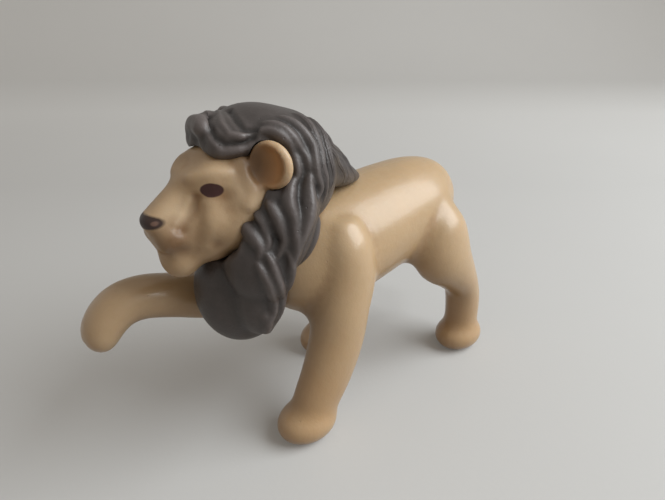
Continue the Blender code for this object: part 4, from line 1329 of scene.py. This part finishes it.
class TOYLION_OT_mane(bpy.types.Operator):
    """Mould the mane with its locks"""
    bl_idname = "toylion.mane"
    bl_label = "Mane"

    def execute(self, context):
        look = context.scene.toy_lion
        base = mane_base(look)
        locks = grow_locks(line_object("lock_lines", lock_ways()), base, mane_place((0.0, 0.0, 0.0)),
                           look.lock_width, look.lock_height)
        mane = joined("mane_forms", [base, locks])
        drop(base)
        fuse(mane, look.mane_grain, look.mane_easing)
        model_skin(mane, MANE_STROKES, mane_place, MANE_WIDTH)
        store_relief(mane, *MANE_RELIEF)
        store_strands(mane, locks)
        drop(locks)
        head = head_skin(look)
        combine(mane, grown(head, "head_room", MANE_SEAT_GAP), "DIFFERENCE")
        drop(head)
        combine(mane, turning_room(), "DIFFERENCE")
        finish_piece(mane, "mane_moulding", "head", ["mane"], mane_material(look))
        return {"FINISHED"}


class TOYLION_OT_stage(bpy.types.Operator):
    """Set the floor, the light and the camera"""
    bl_idname = "toylion.stage"
    bl_label = "Floor, light and camera"

    def execute(self, context):
        look = context.scene.toy_lion
        make_floor(look)
        make_lamp("window", WINDOW_PLACE, WINDOW_SIZE, look.window_power)
        make_world(look)
        make_camera()
        context.scene.view_settings.view_transform = "Standard"
        return {"FINISHED"}


def tail_tube():
    curve = bpy.data.curves.new("tail_line", "CURVE")
    curve.dimensions = "3D"
    curve.bevel_depth = TAIL_DIAMETER / 2
    curve.bevel_resolution = 6
    curve.use_fill_caps = True
    way = [tail_root() - Vector((0.0, KNOB_THICKNESS / 2, 0.0))]
    way += [tail_point(row) for row in TAIL_SHARES]
    way = [place for place, _, _ in smooth_sections([(place, 0.0, 0.0) for place in way], 5)]
    spline = curve.splines.new("POLY")
    spline.points.add(len(way) - 1)
    for point, place in zip(spline.points, way):
        point.co = (*place, 1.0)
    line = collection_object("tail_line", curve)
    tail = collection_object("tail_tube", baked_mesh(line))
    bpy.data.objects.remove(line)
    bm = bmesh.new()
    bm.from_mesh(tail.data)
    bmesh.ops.remove_doubles(bm, verts=bm.verts, dist=MERGE_DISTANCE)
    bm.to_mesh(tail.data)
    bm.free()
    knob = cylinder("knob", tail_root() - Vector((0.0, KNOB_THICKNESS, 0.0)), tail_root(), KNOB_DIAMETER)
    return combine(tail, knob, "UNION")


def tuft_skin(look):
    # A turned drop with strands laid down it, bored for the tail's end
    end, before = tail_point(TAIL_SHARES[-1]), tail_point(TAIL_SHARES[-2])
    upward = (before - end).normalized()
    turn = upward.to_track_quat("Z", "Y").to_matrix().to_4x4()
    top = end + upward * (TUFT_SOCKET - FIT_GAP)
    core = TUFT_DIAMETER / 2 * TUFT_CORE_SHARE
    sections = [(top - upward * down * TUFT_LENGTH, radius * core, radius * core)
                for radius, down in TUFT_SHARES]
    base = fuse(formed("tuft_base", lambda bm: add_loft(bm, smooth_sections(sections))), look.mane_grain, 6)
    width_share, height_share = TUFT_STRAND_SHARES
    strands = grow_locks(line_object("strand_lines", strand_ways(turn)), base,
                         top - upward * TUFT_LENGTH * TUFT_MIDDLE_SHARE,
                         TUFT_DIAMETER * width_share, TUFT_DIAMETER * height_share)
    tuft = joined("tuft_forms", [base, strands])
    drop(base)
    drop(strands)
    fuse(tuft, look.mane_grain, 2)
    return bore(tuft, "tuft_bore", end - upward * FIT_GAP, top + upward * CUT_OVERRUN, TAIL_DIAMETER)


def strand_ways(turn):
    # Ways down the tuft, each turning a little about its axis
    ways = []
    for strand in range(STRANDS):
        way = []
        for step in range(STRAND_STEPS):
            share = step / (STRAND_STEPS - 1)
            around = math.pi / 2 + 2 * math.pi * (strand + STRAND_TWIST * share) / STRANDS
            rise = math.radians(STRAND_TOP - STRAND_FALL * share)
            way.append(turn @ Vector(direction(around, rise)))
        ways.append((1.0, way))
    return ways


def seen_directly(recipe):
    # One for the rays that show a surface or its reflection, nothing for the light it throws back
    camera, glossy, through = (recipe.add("ShaderNodeLightPath", output=f"Is {ray} Ray")
                               for ray in ("Camera", "Glossy", "Transmission"))
    return (camera + glossy + through).held()


def floor_sheet():
    # A sheet that sweeps up behind the figure
    rows = [(-FLOOR_HALF, 0.0), (0.0, 0.0), (FLOOR_BACK, 0.0)]
    for step in range(1, FLOOR_BEND_STEPS + 1):
        angle = math.pi / 2 * step / FLOOR_BEND_STEPS
        rows.append((FLOOR_BACK + FLOOR_BEND * math.sin(angle), FLOOR_BEND * (1 - math.cos(angle))))
    rows.append((FLOOR_BACK + FLOOR_BEND, FLOOR_TOP))
    turn = Matrix.Rotation(CAMERA_TURN[2], 4, "Z")
    bm = bmesh.new()
    pairs = [[bm.verts.new(turn @ Vector((across, away, up))) for across in (-FLOOR_HALF, FLOOR_HALF)]
             for away, up in rows]
    for near, far in zip(pairs, pairs[1:]):
        bm.faces.new((near[0], near[1], far[1], far[0]))
    return loose_object("floor", bm), turn @ Vector((0.0, 1.0, 0.0))


def make_floor(look):
    floor, away = floor_sheet()
    sheet = Plastic("floor_sheet", look.floor)
    cloud = sheet.noise(sheet.place, 9.0)
    seen = seen_directly(sheet)
    tone = sheet.mix(cloud, scaled(look.floor, 0.97), scaled(look.floor, 1.03))
    tone = sheet.mix(seen, opaque(look.floor_bounce), tone)
    depth = sheet.vector("DOT_PRODUCT", sheet.place, tuple(away), output="Value")
    glow = (((depth - GLOW_START) / GLOW_SPAN).held() + GLOW_NEAR) * seen
    glow = sheet.mix(glow, opaque((0.0, 0.0, 0.0)), opaque(look.backdrop))
    constants = {"Specular IOR Level": 0.3, "Emission Color": glow, "Emission Strength": 1.0}
    material = sheet.end(tone, 0.55 + (cloud - 0.5) * 0.1, sheet.noise(sheet.place, 900.0), FLOOR_GRAIN,
                         constants)
    floor.data.materials.append(material)
    floor.data.shade_smooth()
    return floor


def make_lamp(name, place, size, power):
    lamp = bpy.data.lights.new(name, "AREA")
    lamp.shape = "RECTANGLE"
    lamp.size, lamp.size_y = size
    lamp.energy = power
    lamp.color = WINDOW_COLOUR
    obj = collection_object(name, lamp)
    obj.location = place
    aim = Vector((0.0, 0.0, BACK_HEIGHT / 2)) - Vector(place)
    obj.rotation_euler = aim.to_track_quat("-Z", "Y").to_euler()


def make_world(look):
    world = bpy.data.worlds.new("room")
    bpy.context.scene.world = world
    world.use_nodes = True
    world.node_tree.nodes.clear()
    recipe = Recipe(world.node_tree)
    tone = recipe.mix(seen_directly(recipe), scaled(ROOM_COLOUR, look.sky), opaque(look.horizon))
    shader = recipe.add("ShaderNodeBackground", None, {"Color": tone, "Strength": 1.0})
    recipe.add("ShaderNodeOutputWorld", None, {"Surface": shader})


def make_camera():
    camera = bpy.data.cameras.new("camera")
    camera.lens = CAMERA_LENS
    camera.sensor_width = CAMERA_SENSOR
    camera.clip_start = CAMERA_NEAR
    obj = collection_object("camera", camera)
    obj.location = CAMERA_PLACE
    obj.rotation_euler = CAMERA_TURN
    bpy.context.scene.camera = obj


class TOYLION_PT_panel(bpy.types.Panel):
    """Lists the lion's pieces and their values"""
    bl_idname = "TOYLION_PT_panel"
    bl_label = "Moulded toy lion"
    bl_space_type = "VIEW_3D"
    bl_region_type = "UI"
    bl_category = "Lion"

    def draw(self, context):
        look = context.scene.toy_lion
        for operator in PIECES:
            self.layout.operator(operator.bl_idname)
        for name in ToyLionLook.__annotations__:
            self.layout.prop(look, name)


PIECES = (TOYLION_OT_body, TOYLION_OT_tail, TOYLION_OT_post, TOYLION_OT_head, TOYLION_OT_mane,
          TOYLION_OT_stage)
CLASSES = (ToyLionLook, *PIECES, TOYLION_PT_panel)


def register():
    for item in CLASSES:
        bpy.utils.register_class(item)
    bpy.types.Scene.toy_lion = bpy.props.PointerProperty(type=ToyLionLook)


def unregister():
    del bpy.types.Scene.toy_lion
    for item in reversed(CLASSES):
        bpy.utils.unregister_class(item)


def main():
    register()
    bpy.ops.toylion.body()
    bpy.ops.toylion.tail()
    bpy.ops.toylion.post()
    bpy.ops.toylion.head()
    bpy.ops.toylion.mane()
    bpy.ops.toylion.stage()


if __name__ == "__main__":
    main()
